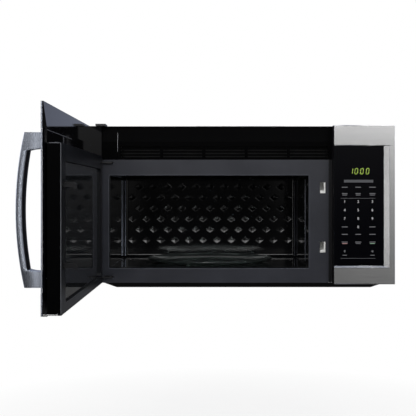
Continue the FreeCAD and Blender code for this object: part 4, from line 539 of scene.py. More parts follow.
def build_finishes(look):
    """Every finish of the oven, by its slot in the record or by its use here."""
    steel = tuple(look.steel)
    face, cavity = tuple(look.face_grey), tuple(look.cavity_grey)
    aluminium, soot = (0.62, 0.62, 0.62), (0.008, 0.008, 0.008)
    MADE.update({
        "steel_across": brushed_steel("brushed_steel_across", "x", steel, 0.24),
        "steel_door": brushed_steel("brushed_steel_door", "y", steel),
        "steel_upright": brushed_steel("brushed_steel_upright", "z", (0.42, 0.45, 0.52), 0.25),
        "galvanised": metal("zinc_coated_sheet", (0.52, 0.53, 0.54), 0.32, 0.5, cells=95.0),
        "zinc_steel": metal("bright_zinc_steel", (0.70, 0.70, 0.69), 0.16, 0.30),
        "motor_steel": metal("varnished_steel", (0.30, 0.31, 0.32), 0.38, 0.55),
        "tube_metal": metal("aluminium_fins", (0.64, 0.64, 0.65), 0.28, 0.42),
        "filter_mesh": woven("aluminium_mesh", aluminium, 0.0026, 1.0, 0.28, 0.5, 0.0007),
        "carbon": woven("charcoal_mesh", soot, 0.0022, 0.0, 0.6, 0.9, 0.0006),
        "circuit_board": circuit_board_finish(),
        "clock": glowing("clock_glow", tuple(look.clock_light), 0.95),
    })
    enamels = {
        "case_paint": ("black_case_enamel", (0.011, 0.011, 0.012), 0.34, 0.46),
        "pan_paint": ("black_pan_enamel", (0.0012, 0.0012, 0.0015), 0.5, 0.6, 1100.0, 0.06),
        # The door's inner face has the face's blue grey paint; this far darker colour is painted
        # shade.
        "shaded_door_grey": ("door_inner_enamel", (0.0042, 0.0046, 0.0064), 0.26, 0.34, 1000.0, 0.28),
        "grey_paint": ("blue_grey_enamel", face, 0.30, 0.40, 1000.0, 0.35),
    }
    mouldings = {
        "vent_black": ("vent_black_plastic", (0.0006, 0.0006, 0.0008), 0.4, 0.5, False, 0.02),
        # Light grey strip in the vent's joint: a painted highlight.
        "vent_edge": ("vent_edge_plastic", (0.22, 0.22, 0.24), 0.3, 0.4),
        # Light blue grey strips in the cavity's corners: painted highlights.
        "corner_highlight_paint": ("seam_enamel", (0.36, 0.40, 0.50), 0.2, 0.26, False),
        # Light grey of the lip bead and the right corner strips: painted highlights.
        "lip_highlight_paint": ("lip_enamel", (0.09, 0.096, 0.118), 0.2, 0.26, False),
        "cavity_enamel": ("charcoal_enamel", cavity, 0.06, 0.10, False),
        "black_plastic": ("glossy_black_plastic", (0.002, 0.002, 0.0028), 0.03, 0.07, False),
        "cover_black": ("cover_black_plastic", (0.0012, 0.0012, 0.0018), 0.05, 0.09, False, 0.45),
        "matte_black": ("matte_black_plastic", (0.004, 0.004, 0.005), 0.38, 0.5, True, 0.25),
        # Light grey edge lines of the door: painted highlights.
        "edge_highlight_paint": ("light_edge_enamel", (0.10, 0.105, 0.12), 0.3, 0.4, False),
        "white_plastic": ("white_plastic", (0.70, 0.70, 0.68), 0.35, 0.5),
        "switch_plastic": ("black_switch_plastic", (0.03, 0.03, 0.032), 0.35, 0.5),
        "film": ("key_film", (0.012, 0.012, 0.013), 0.35, 0.5),
        "bushing_rubber": ("black_rubber", (0.012, 0.012, 0.012), 0.6, 0.8),
    }
    dark_glasses = {
        "black_glass": ("black_glass", (0.0010, 0.0010, 0.0018), 0.02, 0.04, 0.0, 0.07),
        "dark_glass": ("smoked_window_glass", (0.012, 0.013, 0.015), 0.02, 0.045, 0.35),
    }
    clear_glasses = {
        "tray_glass": ("tray_glass", (0.58, 0.68, 0.66), 0.0, 0.02, 0.97),
        "lens_glass": ("lamp_lens_glass", (0.93, 0.94, 0.92), 0.15, 0.3),
        "bulb": ("lamp_bulb_glass", (0.95, 0.94, 0.90), 0.25, 0.4),
    }
    inks = {
        "ink": ("legend_ink", tuple(look.legend_ink)),
        "ink_digits": ("digit_ink", (0.58, 0.58, 0.6)),
        "ink_red": ("legend_ink_red", (0.42, 0.24, 0.23)),
        "ink_green": ("legend_ink_green", (0.25, 0.40, 0.28)),
        "ink_grey": ("bar_ink", (0.06, 0.062, 0.07)),
    }
    makers = (
        (enamel, enamels), (moulded, mouldings), (dark_glass, dark_glasses),
        (clear_glass, clear_glasses), (printed, inks),
    )
    for make, recipes in makers:
        MADE.update({use: make(*recipe) for use, recipe in recipes.items()})


# Nodes that take another finish than the one of their slot.
NODE_FINISH = {
    "vent_grille": "vent_black",
    "grille_end_block": "vent_black",
    "base_pan": "pan_paint",
    # Darker copy of the face paint, as painted shade.
    "door_inner_frame": "shaded_door_grey",
    "latch_slider": "matte_black",
    "hinge_brackets": "case_paint",
    "door_top_cover": "cover_black",
}


class MICROWAVE_OT_finishes(bpy.types.Operator):
    """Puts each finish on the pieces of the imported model"""

    bl_idname = "microwave.finishes"
    bl_label = "Finishes"

    def execute(self, context):
        build_finishes(context.scene.microwave_look)
        for part in frame["record"]["subparts"]:
            node = frame["nodes"][part["node"]]
            finish = NODE_FINISH.get(part["node"], part["material_slot"])
            material = MADE.get(finish, MADE["steel_across"])
            if not node.material_slots:
                node.data.materials.append(material)
            for place in node.material_slots:
                place.material = material
        return {"FINISHED"}


# ---- stainless bands ----


def banded_sheet(place, far, near, top, foot, depths, bands, slopes, radius):
    """Folded sheet round a glass, as one grid of profile rows by path corners.

    The path runs near-top, far-top (twice), far-foot (twice), near-foot. A profile row
    lies at the insets t, s and f from the top, the far side and the foot. The rows go
    round the outer fold, over the flat face, and down the slopes to the glass. The depths
    of the outer edge are given for the top, the side and the foot, and no row of the fold
    goes deeper than they do.
    """
    sign = 1.0 if far > near else -1.0

    def row(t, s, f, deep):
        """The six corners of the path at these insets, each at its own depth."""
        side = far - sign * s
        across = (near, side, side, side, side, near)
        heights = (top - t,) * 3 + (foot + f,) * 3
        return [place(*corner) for corner in zip(across, deep, heights)]

    points = [row(0.0, 0.0, 0.0, np.repeat(depths, 2))]
    for turn in np.linspace(0.0, np.pi / 2, 6):
        inset = radius * (1 - np.cos(turn))
        rise = radius * (1 - np.sin(turn))
        points.append(row(inset, inset, inset, np.repeat(np.minimum(rise, depths), 2)))
    hem = radius + HEM
    points.append(row(hem, hem, hem, (0.0,) * 6))
    top_band, side_band, foot_band = bands
    side_slope, foot_slope = slopes
    recess = GLASS_RECESS
    for t, s, f, d, g in [
        (top_band - radius - HEM, side_band - HEM, foot_band - HEM, 0.0, 0.0),
        (top_band - radius, side_band, foot_band, 0.0, 0.0),
        (top_band - radius * 0.3, side_band, foot_band, radius * 0.3, 0.0),
        (top_band, side_band, foot_band, radius, 0.0),
        (top_band, side_band + 0.0006, foot_band + 0.0004, radius + 0.0001, 0.0001),
        (
            top_band, side_band + side_slope - 0.0006, foot_band + foot_slope - 0.0005,
            recess - 0.0001, recess - 0.0001,
        ),
        (top_band, side_band + side_slope, foot_band + foot_slope, recess, recess),
        (
            top_band + 0.0004, side_band + side_slope + 0.0004,
            foot_band + foot_slope + 0.0004, recess + 0.0005, recess + 0.0005,
        ),
    ]:
        points.append(row(t, s, f, (d, g, g, g, g, g)))
    return grid_part(points)


def stainless_front(name, place, far, near, depths, outward, material, body, node):
    """The stainless bands of the door or of the control side."""
    look = bpy.context.scene.microwave_look
    top, foot = PANEL_HI.z, PANEL_LO.z
    top_band = top - (GLASS_HI.z - GLASS_LAP)
    foot_band = GLASS_LO.z + GLASS_LAP - FOOT_SLOPE - foot
    points, faces = banded_sheet(
        place, far, near, top, foot, depths, (top_band, SIDE_BAND, foot_band),
        (SIDE_SLOPE, FOOT_SLOPE), look.fold_radius,
    )
    piece = make_object(name, points, faces, sharp_degrees=25.0)
    add_sheet(piece, BAND_SHEET, -1.0)
    turn_towards(piece, outward)
    for face in piece.data.polygons:
        face.use_smooth = face.area < FOLD_AREA
    finish_piece(piece, material, body, "stainless", node)


class MICROWAVE_OT_bands(bpy.types.Operator):
    """Stainless bands of the door and of the control side"""

    bl_idname = "microwave.bands"
    bl_label = "Stainless bands"

    def execute(self, context):
        width = DOOR_HI.y - DOOR_LO.y
        depth = PANEL_HI.y - PANEL_LO.y
        stainless_front(
            "door_bands", lambda u, w, z: (DOOR_LO.x + w, DOOR_HI.y - u, z), 0.0, width,
            (GLASS_RECESS, DOOR_RETURN, DOOR_RETURN), (-1, 0, 0), MADE["steel_door"], "door",
            "door_outer_frame",
        )
        stainless_front(
            "control_bands", lambda u, w, z: (u, PANEL_LO.y + w, z), PANEL_HI.x, PANEL_LO.x,
            (depth, depth, depth), (0, -1, 0), MADE["steel_across"], "cabinet",
            "control_panel_frame",
        )
        return {"FINISHED"}


# ---- door ----


class MICROWAVE_OT_handle(bpy.types.Operator):
    """Stainless bow of the handle with its turned-in ends, and its black inner face"""

    bl_idname = "microwave.handle"
    bl_label = "Handle"

    def execute(self, context):
        low, high = HANDLE_LO.z, HANDLE_HI.z
        glass_x = DOOR_GLASS_LO.x
        s = np.linspace(-1.0, 1.0, 121)
        z = (low + high) / 2 + (high - low) / 2 * s
        outer = glass_x - HANDLE_LO.x - HANDLE_RISE * s ** 2
        from_end = np.minimum(z - low, high - z)
        blend = np.clip((HANDLE_FOOT + HANDLE_NECK - from_end) / HANDLE_NECK, 0.0, 1.0)
        inner = (outer - HANDLE_SHEET) * np.sqrt(np.clip(1 - blend ** 2, 0.0, 1.0))
        width = FEET_HI.y - FEET_LO.y + 0.002
        y = (HANDLE_LO.y + HANDLE_HI.y) / 2
        loops = []
        for o, i, height in zip(outer, inner, z):
            radius = min(0.0022, (o - i) / 3)
            loops.append(level_loop(glass_x - o, glass_x - i, y, width, radius, height))
        bow = make_object("handle_bow", *tube_part(loops), sharp_degrees=38.0)
        finish_piece(bow, MADE["steel_upright"], "door", "stainless", "handle_bar", "handle_feet")

        between = from_end > HANDLE_FOOT + 0.002
        face, thick, radius = 0.0002, 0.0015, 0.0005
        loops = []
        for o, height in zip(outer[between], z[between]):
            x = glass_x - (o - HANDLE_SHEET) - face
            loops.append(level_loop(x, x + thick, y, width - 0.002, radius, height))
        strip = make_object("handle_inner_strip", *tube_part(loops))
        finish_piece(strip, MADE["matte_black"], "door", "matte_black", "handle_liner")
        return {"FINISHED"}


class MICROWAVE_OT_door_trim(bpy.types.Operator):
    """Black cover over the door's free end, with the light edges below and beside it, and light
    grey lines painted on as highlights along the inner frame's edges and the cover's ledges
    """

    bl_idname = "microwave.door_trim"
    bl_label = "Door end trim"

    def execute(self, context):
        end = DOOR_LO.y
        back = INNER_LO.y - 0.0002
        cover = (
            (INNER_LO.x + 0.0002, end + 0.0003, INNER_LO.z + 0.0035),
            (INNER_HI.x - 0.0012, back, INNER_HI.z - 0.0015),
        )
        blocks("door_end_trim", [cover], MADE["vent_black"], "door", "matte_black", 0.0005)
        strip = (
            (DOOR_LO.x + 0.0002, end + 0.0002, DOOR_LO.z + 0.0005),
            (DOOR_LO.x + 0.0030, end + 0.0022, DOOR_HI.z - 0.0005),
        )
        blocks("door_free_edge", [strip], MADE["steel_upright"], "door", "stainless", 0.0006)
        # Painted highlights: light grey strips along the inner frame's side and top edges stand
        # in for light caught there.
        side = INNER_HI.x - 0.0001
        front, rear = INNER_LO.y - 0.0006, INNER_LO.y + 0.001
        highlight_edges = [
            ((side - 0.0018, front, INNER_LO.z + 0.004), (side, rear, INNER_HI.z)),
            (
                (INNER_LO.x + 0.004, front, INNER_HI.z - 0.0012),
                (side, rear, INNER_HI.z - 0.0001),
            ),
        ]
        blocks("door_inner_edge_highlight", highlight_edges, MADE["edge_highlight_paint"], "door", "grey_paint")
        # Painted highlights: light grey lines along the top cover's ledges.
        face = INNER_LO.x
        out = face + 0.0008
        upper, lower = 0.1542, 0.1369
        highlight_lines = [
            ((face, INNER_LO.y, upper), (out, -0.707, upper + 0.0009)),
            ((face, -0.903, lower - 0.0009), (out, -0.733, lower)),
            ((face, -0.8088, lower), (out, -0.8072, upper)),
        ]
        blocks("door_cover_highlight_lines", highlight_lines, MADE["edge_highlight_paint"], "door", "black_plastic")
        lip = (
            (DOOR_LO.x + 0.0045, end + 0.0004, INNER_LO.z + 0.0006),
            (INNER_HI.x - 0.0060, back - 0.0001, INNER_LO.z + 0.0026),
        )
        blocks("door_foot_lip", [lip], MADE["zinc_steel"], "door", "zinc_steel", 0.0004)
        return {"FINISHED"}


# ---- face and vent ----


class MICROWAVE_OT_latch_guides(bpy.types.Operator):
    """White guides inside the two latch slots of the face"""

    bl_idname = "microwave.latch_guides"
    bl_label = "Latch guides"

    def execute(self, context):
        y = FACE_LO.y
        left, corner, right = 0.1952, 0.2052, 0.2088
        slots = (0.0505, -0.1018)
        half, step = 0.0139, 0.0072
        guides = [
            ((corner, y + 0.0016, z - half), (right, y + 0.0060, z + half)) for z in slots
        ]
        guides += [
            ((left, y + 0.0020, z - half), (corner, y + 0.0060, z - step)) for z in slots
        ]
        blocks("latch_guides", guides, MADE["white_plastic"], "cabinet", "white_plastic")
        return {"FINISHED"}


class MICROWAVE_OT_vent_edge(bpy.types.Operator):
    """Painted highlight: a light grey strip in the joint between the vent front and its end
    block, standing in for light caught by that edge
    """

    bl_idname = "microwave.vent_edge"
    bl_label = "Vent edge"

    def execute(self, context):
        x, y = GRILLE_LO.x - 0.0006, GRILLE_LO.y
        foot, crease, top = 0.1435, 0.1690, 0.1915
        lean = 0.0080 * (top - crease) / 0.0382
        front, rear = y + 0.0001, y + 0.0030
        profile = [(front, foot), (front, crease), (front + lean, top)]
        profile += [(rear + lean, top), (rear, crease), (rear, foot)]
        sides = (x - 0.0005, x + 0.0005)
        points = [(side, depth, height) for side in sides for depth, height in profile]
        faces = [(0, 1, 4, 5), (1, 2, 3, 4), (11, 10, 7, 6), (10, 9, 8, 7)]
        faces += [(k, k + 6, (k + 1) % 6 + 6, (k + 1) % 6) for k in range(6)]
        # The strip's light grey is a painted highlight.
        edge = make_object("vent_edge", points, faces)
        finish_piece(edge, MADE["vent_edge"], "cabinet", "black_plastic")
        return {"FINISHED"}


# ---- cavity ----


class MICROWAVE_OT_cavity_lip(bpy.types.Operator):
    """Black edge of the cavity's opening over the face, with a thin bead round it painted light
    grey as a highlight
    """

    bl_idname = "microwave.cavity_lip"
    bl_label = "Cavity lip"

    def execute(self, context):
        wide, narrow = 0.0036, 0.0004
        x0, x1 = REAR_LO.x + CAVITY_SHEET, REAR_HI.x - CAVITY_SHEET
        z0, z1 = FLOOR_LO.z + 0.0142, REAR_HI.z - CAVITY_SHEET
        inner = (x0, x1, z0, z1)
        outer = (x0 - wide, x1 + narrow, z0 - wide, z1 + narrow)
        y = FACE_LO.y
        front = y - 0.0003
        section = ((inner, y + 0.0012), (outer, y + 0.0001), (outer, front), (inner, front))
        band = [upright_loop(sides, 0.0, depth) for sides, depth in section]
        self.ring("cavity_edge_band", band, MADE["cavity_enamel"], "cavity_enamel")
        # The bead's light grey is a painted highlight along the opening's edge.
        radius = 0.0005
        bead = []
        for a in 2 * np.pi * np.arange(8) / 8:
            inset = radius * (np.cos(a) - 1.0)
            bead.append(upright_loop(outer, inset, y + radius * (np.sin(a) - 0.2)))
        self.ring("cavity_lip", bead, MADE["lip_highlight_paint"], "grey_paint")
        return {"FINISHED"}

    def ring(self, name, loops, material, slot):
        """Closed ring whose section runs through the loops."""
        piece = make_object(name, *grid_part(loops, True, True), sharp_degrees=50.0)
        finish_piece(piece, material, "cabinet", slot)


class MICROWAVE_OT_cavity_highlights(bpy.types.Operator):
    """Painted highlight lines, thin light strips down the cavity's rear corners and on its side
    walls, standing in for light caught by the folds
    """

    bl_idname = "microwave.cavity_seams"
    bl_label = "Cavity highlights"

    def execute(self, context):
        x0, x1 = REAR_LO.x + CAVITY_SHEET, REAR_HI.x - CAVITY_SHEET
        z0, z1 = -0.1480, 0.0732
        wall = z0 + 0.004
        near = REAR_LO.y - 0.0012
        far = near + 0.0008
        skin = 0.00005
        # Painted highlights: the brighter pair at the left corner and wall, the dimmer pair at
        # the right.
        bright = [
            ((x0 + 0.0026, near, z0), (x0 + 0.0042, far, z1)),
            ((x0 + skin, -0.0990, wall), (x0 + 0.0011, -0.0984, z1)),
        ]
        dim = [
            ((x1 - 0.0040, near, z0), (x1 - 0.0026, far, z1)),
            ((x1 - 0.0008, -0.3000, wall), (x1 - skin, -0.2840, z1)),
        ]
        blocks("cavity_corner_highlight", bright, MADE["corner_highlight_paint"], "cabinet", "cavity_enamel")
        blocks("cavity_side_highlights", dim, MADE["lip_highlight_paint"], "cabinet", "cavity_enamel")
        return {"FINISHED"}


def diamonds(x, z):
    """Depth of staggered pyramids, from 0 on the flat wall to about 1 in the middle.

    Each one adds (t + sqrt(t^2 + k^2)) / 2 with t = 1 - |dx|/a - |dz|/b, where a and b
    are its half width and half height and k softens its edges.
    """
    depth = np.zeros_like(x)
    for row in range(DIAMOND_ROWS):
        dz = np.abs(z - (row - (DIAMOND_ROWS - 1) / 2) * DIAMOND_PITCH.y)
        count = DIAMOND_COLUMNS + 1 - row % 2
        for column in range(count):
            dx = np.abs(x - (column - (count - 1) / 2) * DIAMOND_PITCH.x)
            inside = 1 - dx / DIAMOND_HALF.x - dz / DIAMOND_HALF.y
            depth += (inside + np.sqrt(inside ** 2 + DIAMOND_SOFT ** 2)) / 2
    return depth


class MICROWAVE_OT_cavity_back(bpy.types.Operator):
    """Rear wall of the cavity with its pressed diamonds and rolled edge"""

    bl_idname = "microwave.cavity_back"
    bl_label = "Cavity rear wall"

    def execute(self, context):
        pressed = context.scene.microwave_look.diamond_depth
        x0, x1 = REAR_LO.x + CAVITY_SHEET, REAR_HI.x - CAVITY_SHEET
        z0, z1 = REAR_LO.z + CAVITY_SHEET, REAR_HI.z - CAVITY_SHEET
        y_wall = REAR_HI.y - CAVITY_SHEET
        y_flat = y_wall - pressed
        x_middle = (x0 + x1) / 2
        x = x_middle + np.arange(-188, 189) * DIAMOND_STEP.x
        z = REAR_MIDDLE_Z + np.arange(-91, 92) * DIAMOND_STEP.y
        x = np.unique(np.clip(x, x0 + REAR_FOLD, x1 - REAR_FOLD))
        z = np.unique(np.clip(z, z0 + REAR_FOLD, z1 - REAR_FOLD))
        xx, zz = np.meshgrid(x, z, indexing="xy")
        y = y_wall - pressed * (1 - diamonds(xx - x_middle, zz - REAR_MIDDLE_Z))
        field = grid_part(np.stack([xx, y, zz], axis=-1))
        profile = [(0.0, REAR_LO.y)]
        for a in np.linspace(0.0, np.pi / 2, 9):
            depth = y_flat - REAR_FOLD + REAR_FOLD * np.sin(a)
            profile.append((REAR_FOLD * (1 - np.cos(a)), depth))
        profile.append((REAR_FOLD + 0.0015, y_flat + 0.0001))
        loops = [upright_loop((x0, x1, z0, z1), inset, depth) for inset, depth in profile]
        rim = grid_part(loops, close_columns=True)
        back = make_object("cavity_back", *joined([field, rim]), sharp_degrees=60.0)
        add_sheet(back, 0.0009, 1.0)
        finish_piece(back, MADE["cavity_enamel"], "cabinet", "cavity_enamel", "cavity_rear_wall")
        turn_towards(back, (0, -1, 0))
        return {"FINISHED"}


class MICROWAVE_OT_turntable(bpy.types.Operator):
    """Glass turntable with a rounded rim"""

    bl_idname = "microwave.turntable"
    bl_label = "Turntable"

    def execute(self, context):
        centre = ((TRAY_LO.x + TRAY_HI.x) / 2, (TRAY_LO.y + TRAY_HI.y) / 2)
        outer = (TRAY_HI.x - TRAY_LO.x) / 2
        base = outer - 0.0325
        under, brim = TRAY_LO.z, TRAY_HI.z
        upper = under + 0.0045
        rim = 0.0022
        profile = [(0.0, under), (base * 0.5, under), (base - 0.004, under)]
        profile.append((base + 0.002, under + 0.0006))
        for a in np.linspace(-np.pi * 0.35, np.pi * 0.82, 9):
            profile.append((outer - rim + rim * np.cos(a), brim - rim + rim * np.sin(a)))
        profile += [(base + 0.006, upper + 0.0016), (base - 0.002, upper + 0.0002)]
        profile += [(base - 0.010, upper), (base * 0.5, upper), (0.0, upper)]
        tray = make_object("turntable_glass", *revolved(profile, centre, 128), sharp_degrees=60.0)
        finish_piece(tray, MADE["tray_glass"], "tray", "tray_glass", "glass_turntable")
        return {"FINISHED"}


# ---- marks on the control glass ----

# Clock segments between (across, up) places, as shares of a digit's width and height.
SEGMENTS = {
    "a": ((0.12, 1.0), (0.88, 1.0)), "b": ((1.0, 0.94), (1.0, 0.54)),
    "c": ((1.0, 0.46), (1.0, 0.06)), "d": ((0.12, 0.0), (0.88, 0.0)),
    "e": ((0.0, 0.46), (0.0, 0.06)), "f": ((0.0, 0.94), (0.0, 0.54)),
}
LIT = {"0": "abcdef", "1": "bc"}
CLOCK_DIGITS = (("1", 0.2654), ("0", 0.2780), ("0", 0.2924), ("0", 0.3066))
CLOCK_COLON_X = 0.2874
CLOCK_MIDDLE_Z = 0.0922


def bar_part(start, end, thick, y):
    """Pointed bar between two (x, z) places in the plane of the glass."""
    start, end = np.array(start), np.array(end)
    way = (end - start) / np.linalg.norm(end - start)
    side = np.array([-way[1], way[0]]) * thick / 2
    tip = way * thick / 2
    flat = [
        start - tip * 0.4, start + tip + side, end - tip + side,
        end + tip * 0.4, end - tip - side, start + tip - side,
    ]
    return [(p[0], y, p[1]) for p in flat], [[0, 1, 2, 3, 4, 5]]


def strip_part(x, z, width, height, y):
    """Flat bar centred on a place in the plane of the glass."""
    x0, x1, z0, z1 = x - width / 2, x + width / 2, z - height / 2, z + height / 2
    return [(x0, y, z0), (x1, y, z0), (x1, y, z1), (x0, y, z1)], [[0, 1, 2, 3]]


def print_piece(name, parts, material):
    """Thin printed marks on the control glass, facing the front."""
    piece = make_object(name, *joined(parts), weld=False)
    turn_faces(piece, lambda faces: [face for face in faces if face.normal.y > 0])
    finish_piece(piece, material, "cabinet", "black_glass")


class MICROWAVE_OT_clock(bpy.types.Operator):
    """Lit clock digits on the control glass"""

    bl_idname = "microwave.clock"
    bl_label = "Clock"

    def execute(self, context):
        y = GLASS_LO.y - SURFACE_GAP
        tall = context.scene.microwave_look.clock_height
        wide = tall * 0.47
        thick = tall * 0.052
        slant = 0.13
        z0 = CLOCK_MIDDLE_Z - tall / 2
        parts = []
        for digit, x in CLOCK_DIGITS:
            for name in LIT[digit]:
                start, end = [
                    (x + across * wide + slant * up * tall, z0 + up * tall)
                    for across, up in SEGMENTS[name]
                ]
                parts.append(bar_part(start, end, thick, y))
        for up in (0.3, 0.7):
            x = CLOCK_COLON_X + slant * up * tall
            parts.append(strip_part(x, z0 + up * tall, thick, thick, y))
        print_piece("clock_digits", parts, MADE["clock"])
        return {"FINISHED"}


def digit_part(digit, x, z, height, y):
    """One printed digit, centred on a place, from the built-in letter shapes."""
    curve = bpy.data.curves.new("digit", "FONT")
    curve.body = digit
    curve.size = height * 1.40
    curve.align_x = "CENTER"
    curve.resolution_u = 4
    text = bpy.data.objects.new("digit", curve)
    mesh = bpy.data.meshes.new_from_object(text)
    flat = np.array([v.co[:2] for v in mesh.vertices])
    faces = [list(face.vertices) for face in mesh.polygons]
    flat = flat - (flat.min(axis=0) + flat.max(axis=0)) / 2
    points = np.stack([x + flat[:, 0], np.full(len(flat), y), z + flat[:, 1]], axis=-1)
    bpy.data.objects.remove(text)
    bpy.data.curves.remove(curve)
    bpy.data.meshes.remove(mesh)
    return points, faces


def lamp_icon(x, z, y):
    """Small lamp sign: a ring over a short bar."""
    a = 2 * np.pi * np.arange(16) / 16
    ring = [(x + 0.0022 * np.cos(t), y, z + 0.0008 + 0.0022 * np.sin(t)) for t in a]
    return [(ring, [list(range(16))]), strip_part(x, z - 0.0026, 0.0022, 0.0010, y)]


def fan_icon(x, z, y):
    """Small fan sign: four petals round the middle."""
    petals = []
    a = 2 * np.pi * np.arange(10) / 10
    px = 0.0017 + 0.0015 * np.cos(a)
    pz = 0.0009 * np.sin(a)
    for turn in np.arange(4) * np.pi / 2 + 0.4:
        points = np.stack([
            x + px * np.cos(turn) - pz * np.sin(turn), np.full(10, y),
            z + px * np.sin(turn) + pz * np.cos(turn),
        ], axis=-1)
        petals.append((points, [list(range(10))]))
    return petals


class MICROWAVE_OT_legends(bpy.types.Operator):
    """Printed key legends: digits, plain bars and two small icons"""

    bl_idname = "microwave.legends"
    bl_label = "Key legends"

    def execute(self, context):
        tall = context.scene.microwave_look.digit_height
        y = GLASS_LO.y - SURFACE_GAP
        left, middle, right = KEY_COLUMNS
        digits = [digit_part("0", middle, -0.0486, tall, y)]
        for text, z in DIGIT_ROWS:
            digits += [digit_part(digit, x, z, tall, y) for digit, x in zip(text, KEY_COLUMNS)]
        print_piece("key_digits", digits, MADE["ink_digits"])
        # Each bar is (x, z, width, height).
        bars = []
        for x, width in zip(KEY_COLUMNS, (0.0150, 0.0140, 0.0160)):
            bars += [(x, 0.0517, width, 0.0019), (x, 0.0358, width * 0.95, 0.0018)]
            bars += [(x, 0.0320, width * 0.8, 0.0018), (x, -0.0674, width, 0.0019)]
        for x in (left, right):
            bars += [(x, z, 0.0150, 0.0019) for z in (-0.0486, -0.0869)]
            bars.append((x, -0.1202, 0.0110, 0.0016))
        bars += [(middle, -0.0869, 0.0150, 0.0019), (middle, -0.0905, 0.0120, 0.0016)]
        bars += [(0.2863, z, 0.0877, 0.0006) for z in (0.0237, -0.1280)]
        parts = [strip_part(*bar, y) for bar in bars]
        parts += lamp_icon(left, -0.1102, y) + fan_icon(right, -0.1102, y)
        print_piece("key_legends", parts, MADE["ink"])
        for name, bar, ink in (
            ("stop_key_mark", (left, -0.0905, 0.0130, 0.0016), "ink_red"),
            ("start_key_mark", (right, -0.0905, 0.0120, 0.0016), "ink_green"),
            ("plain_bar", (0.288, 0.0670, 0.0740, 0.0068), "ink_grey"),
        ):
            print_piece(name, [strip_part(*bar, y)], MADE[ink])
        return {"FINISHED"}


# ---- screws ----


def screw_part(radius, height):
    """Pan-head screw along +Z: a domed head, and the two arms of its recess."""
    profile = [(radius, 0.0)]
    for s in np.linspace(0.0, 1.0, 7):
        profile.append((radius * (1 - 0.55 * s ** 2.2), height * math.sin(s * math.pi / 2)))
    profile.append((0.0, height))
    head = revolved(profile, (0.0, 0.0), 24)
    arm = radius * 0.42
    wide = radius * 0.13
    cuts = []
    for x, y in ((arm, wide), (wide, arm)):
        cuts.append(box_part((-x, -y, height * 0.9), (x, y, height + 0.00008)))
    return head, cuts


def screws(name, places, axis, slot, shade_name):
    """Like screws at several places, heads along one axis, with crossed recesses drawn as matte
    black blocks for painted shade.
    """
    turn = Vector((0, 0, 1)).rotation_difference(Vector(axis)).to_matrix()
    head, cuts = screw_part(0.0036, 0.0014)
    heads = [turned(head, turn, place) for place in places]
    marks = [turned(cut, turn, place) for place in places for cut in cuts]
    piece = make_object(name, *joined(heads), sharp_degrees=50.0)
    finish_piece(piece, MADE[slot], "cabinet", slot)
    # The recess arms are matte black blocks: painted shade in place of cut recesses.
    recess = make_object(shade_name, *joined(marks), weld=False)
    finish_piece(recess, MADE["matte_black"], "cabinet", "matte_black")


class MICROWAVE_OT_screws(bpy.types.Operator):
    """Screws of the case's side, its top and its floor"""

    bl_idname = "microwave.screws"
    bl_label = "Screws"

    def execute(self, context):
        left = [(CASE_LO.x, y, CASE_LO.z + 0.016) for y in (-0.05, -0.20, -0.33)]
        top = [(x, y, CASE_HI.z) for x in (-0.355, 0.355) for y in (-0.03, -0.36)]
        under = [(x, y, CASE_LO.z) for x in (-0.371, 0.371) for y in (-0.06, -0.20, -0.34)]
        screws("side_screws", left, (-1, 0, 0), "case_paint", "side_screw_recess_shade")
        screws("top_screws", top, (0, 0, 1), "case_paint", "top_screw_recess_shade")
        screws("floor_screws", under, (0, 0, -1), "zinc_steel", "floor_screw_recess_shade")
        return {"FINISHED"}


# ---- stage ----

CAMERA = {"lens": 74.08, "sensor_width": 36.0, "shift_x": -0.01202, "shift_y": -0.03486}
CAMERA_PLACE = (-0.0799, -2.577, 0.0358)
# Name, place, target, size and power of each lamp.
LAMPS = (
    ("softbox_above", (0.0, 0.1, 2.4), (0.0, -0.2, 0.0), (3.0, 1.4), 36.0),
    ("softbox_left", (-2.9, -0.9, 0.6), (0.0, -0.3, 0.0), (1.2, 1.6), 14.0),
    ("softbox_right", (2.9, -0.9, 0.6), (0.0, -0.3, 0.0), (1.2, 1.6), 14.0),
    ("softbox_front", (0.0, -3.1, 1.25), (0.0, -0.2, 0.0), (3.8, 1.0), 46.0),
    ("strip_front", (-0.987, -5.0, -0.15), (0.365, -0.4, -0.15), (0.30, 1.1), 3.6),
)
FLOOR_Z = -0.75


class MICROWAVE_OT_stage(bpy.types.Operator):
    """Camera, lights, white surroundings and a pale floor"""

    bl_idname = "microwave.stage"
    bl_label = "Stage"

    def execute(self, context):
        scene = context.scene
        scene.view_settings.view_transform = "Standard"
        data = bpy.data.cameras.new("camera")
        for key, value in CAMERA.items():
            setattr(data, key, value)
        camera = bpy.data.objects.new("camera", data)
        camera.location = CAMERA_PLACE
        camera.rotation_euler = (math.pi / 2, 0.0, 0.0)
        scene.collection.objects.link(camera)
        scene.camera = camera
        for settings in LAMPS:
            lamp(*settings)
        surroundings(scene)
        corners = [(x, y, FLOOR_Z) for x, y in ((-4, -1.3), (4, -1.3), (4, 5), (-4, 5))]
        floor = make_object("floor", corners, [[0, 1, 2, 3]])
        floor.data.materials.append(floor_finish())
        return {"FINISHED"}


def lamp(name, place, target, size, power):
    """Soft rectangular lamp that looks at a target."""
    data = bpy.data.lights.new(name, "AREA")
    data.shape = "RECTANGLE"
    data.size, data.size_y = size
    data.energy = power
    light = bpy.data.objects.new(name, data)
    light.location = place
    way = Vector(target) - Vector(place)
    light.rotation_euler = way.to_track_quat("-Z", "Y").to_euler()
    bpy.context.scene.collection.objects.link(light)


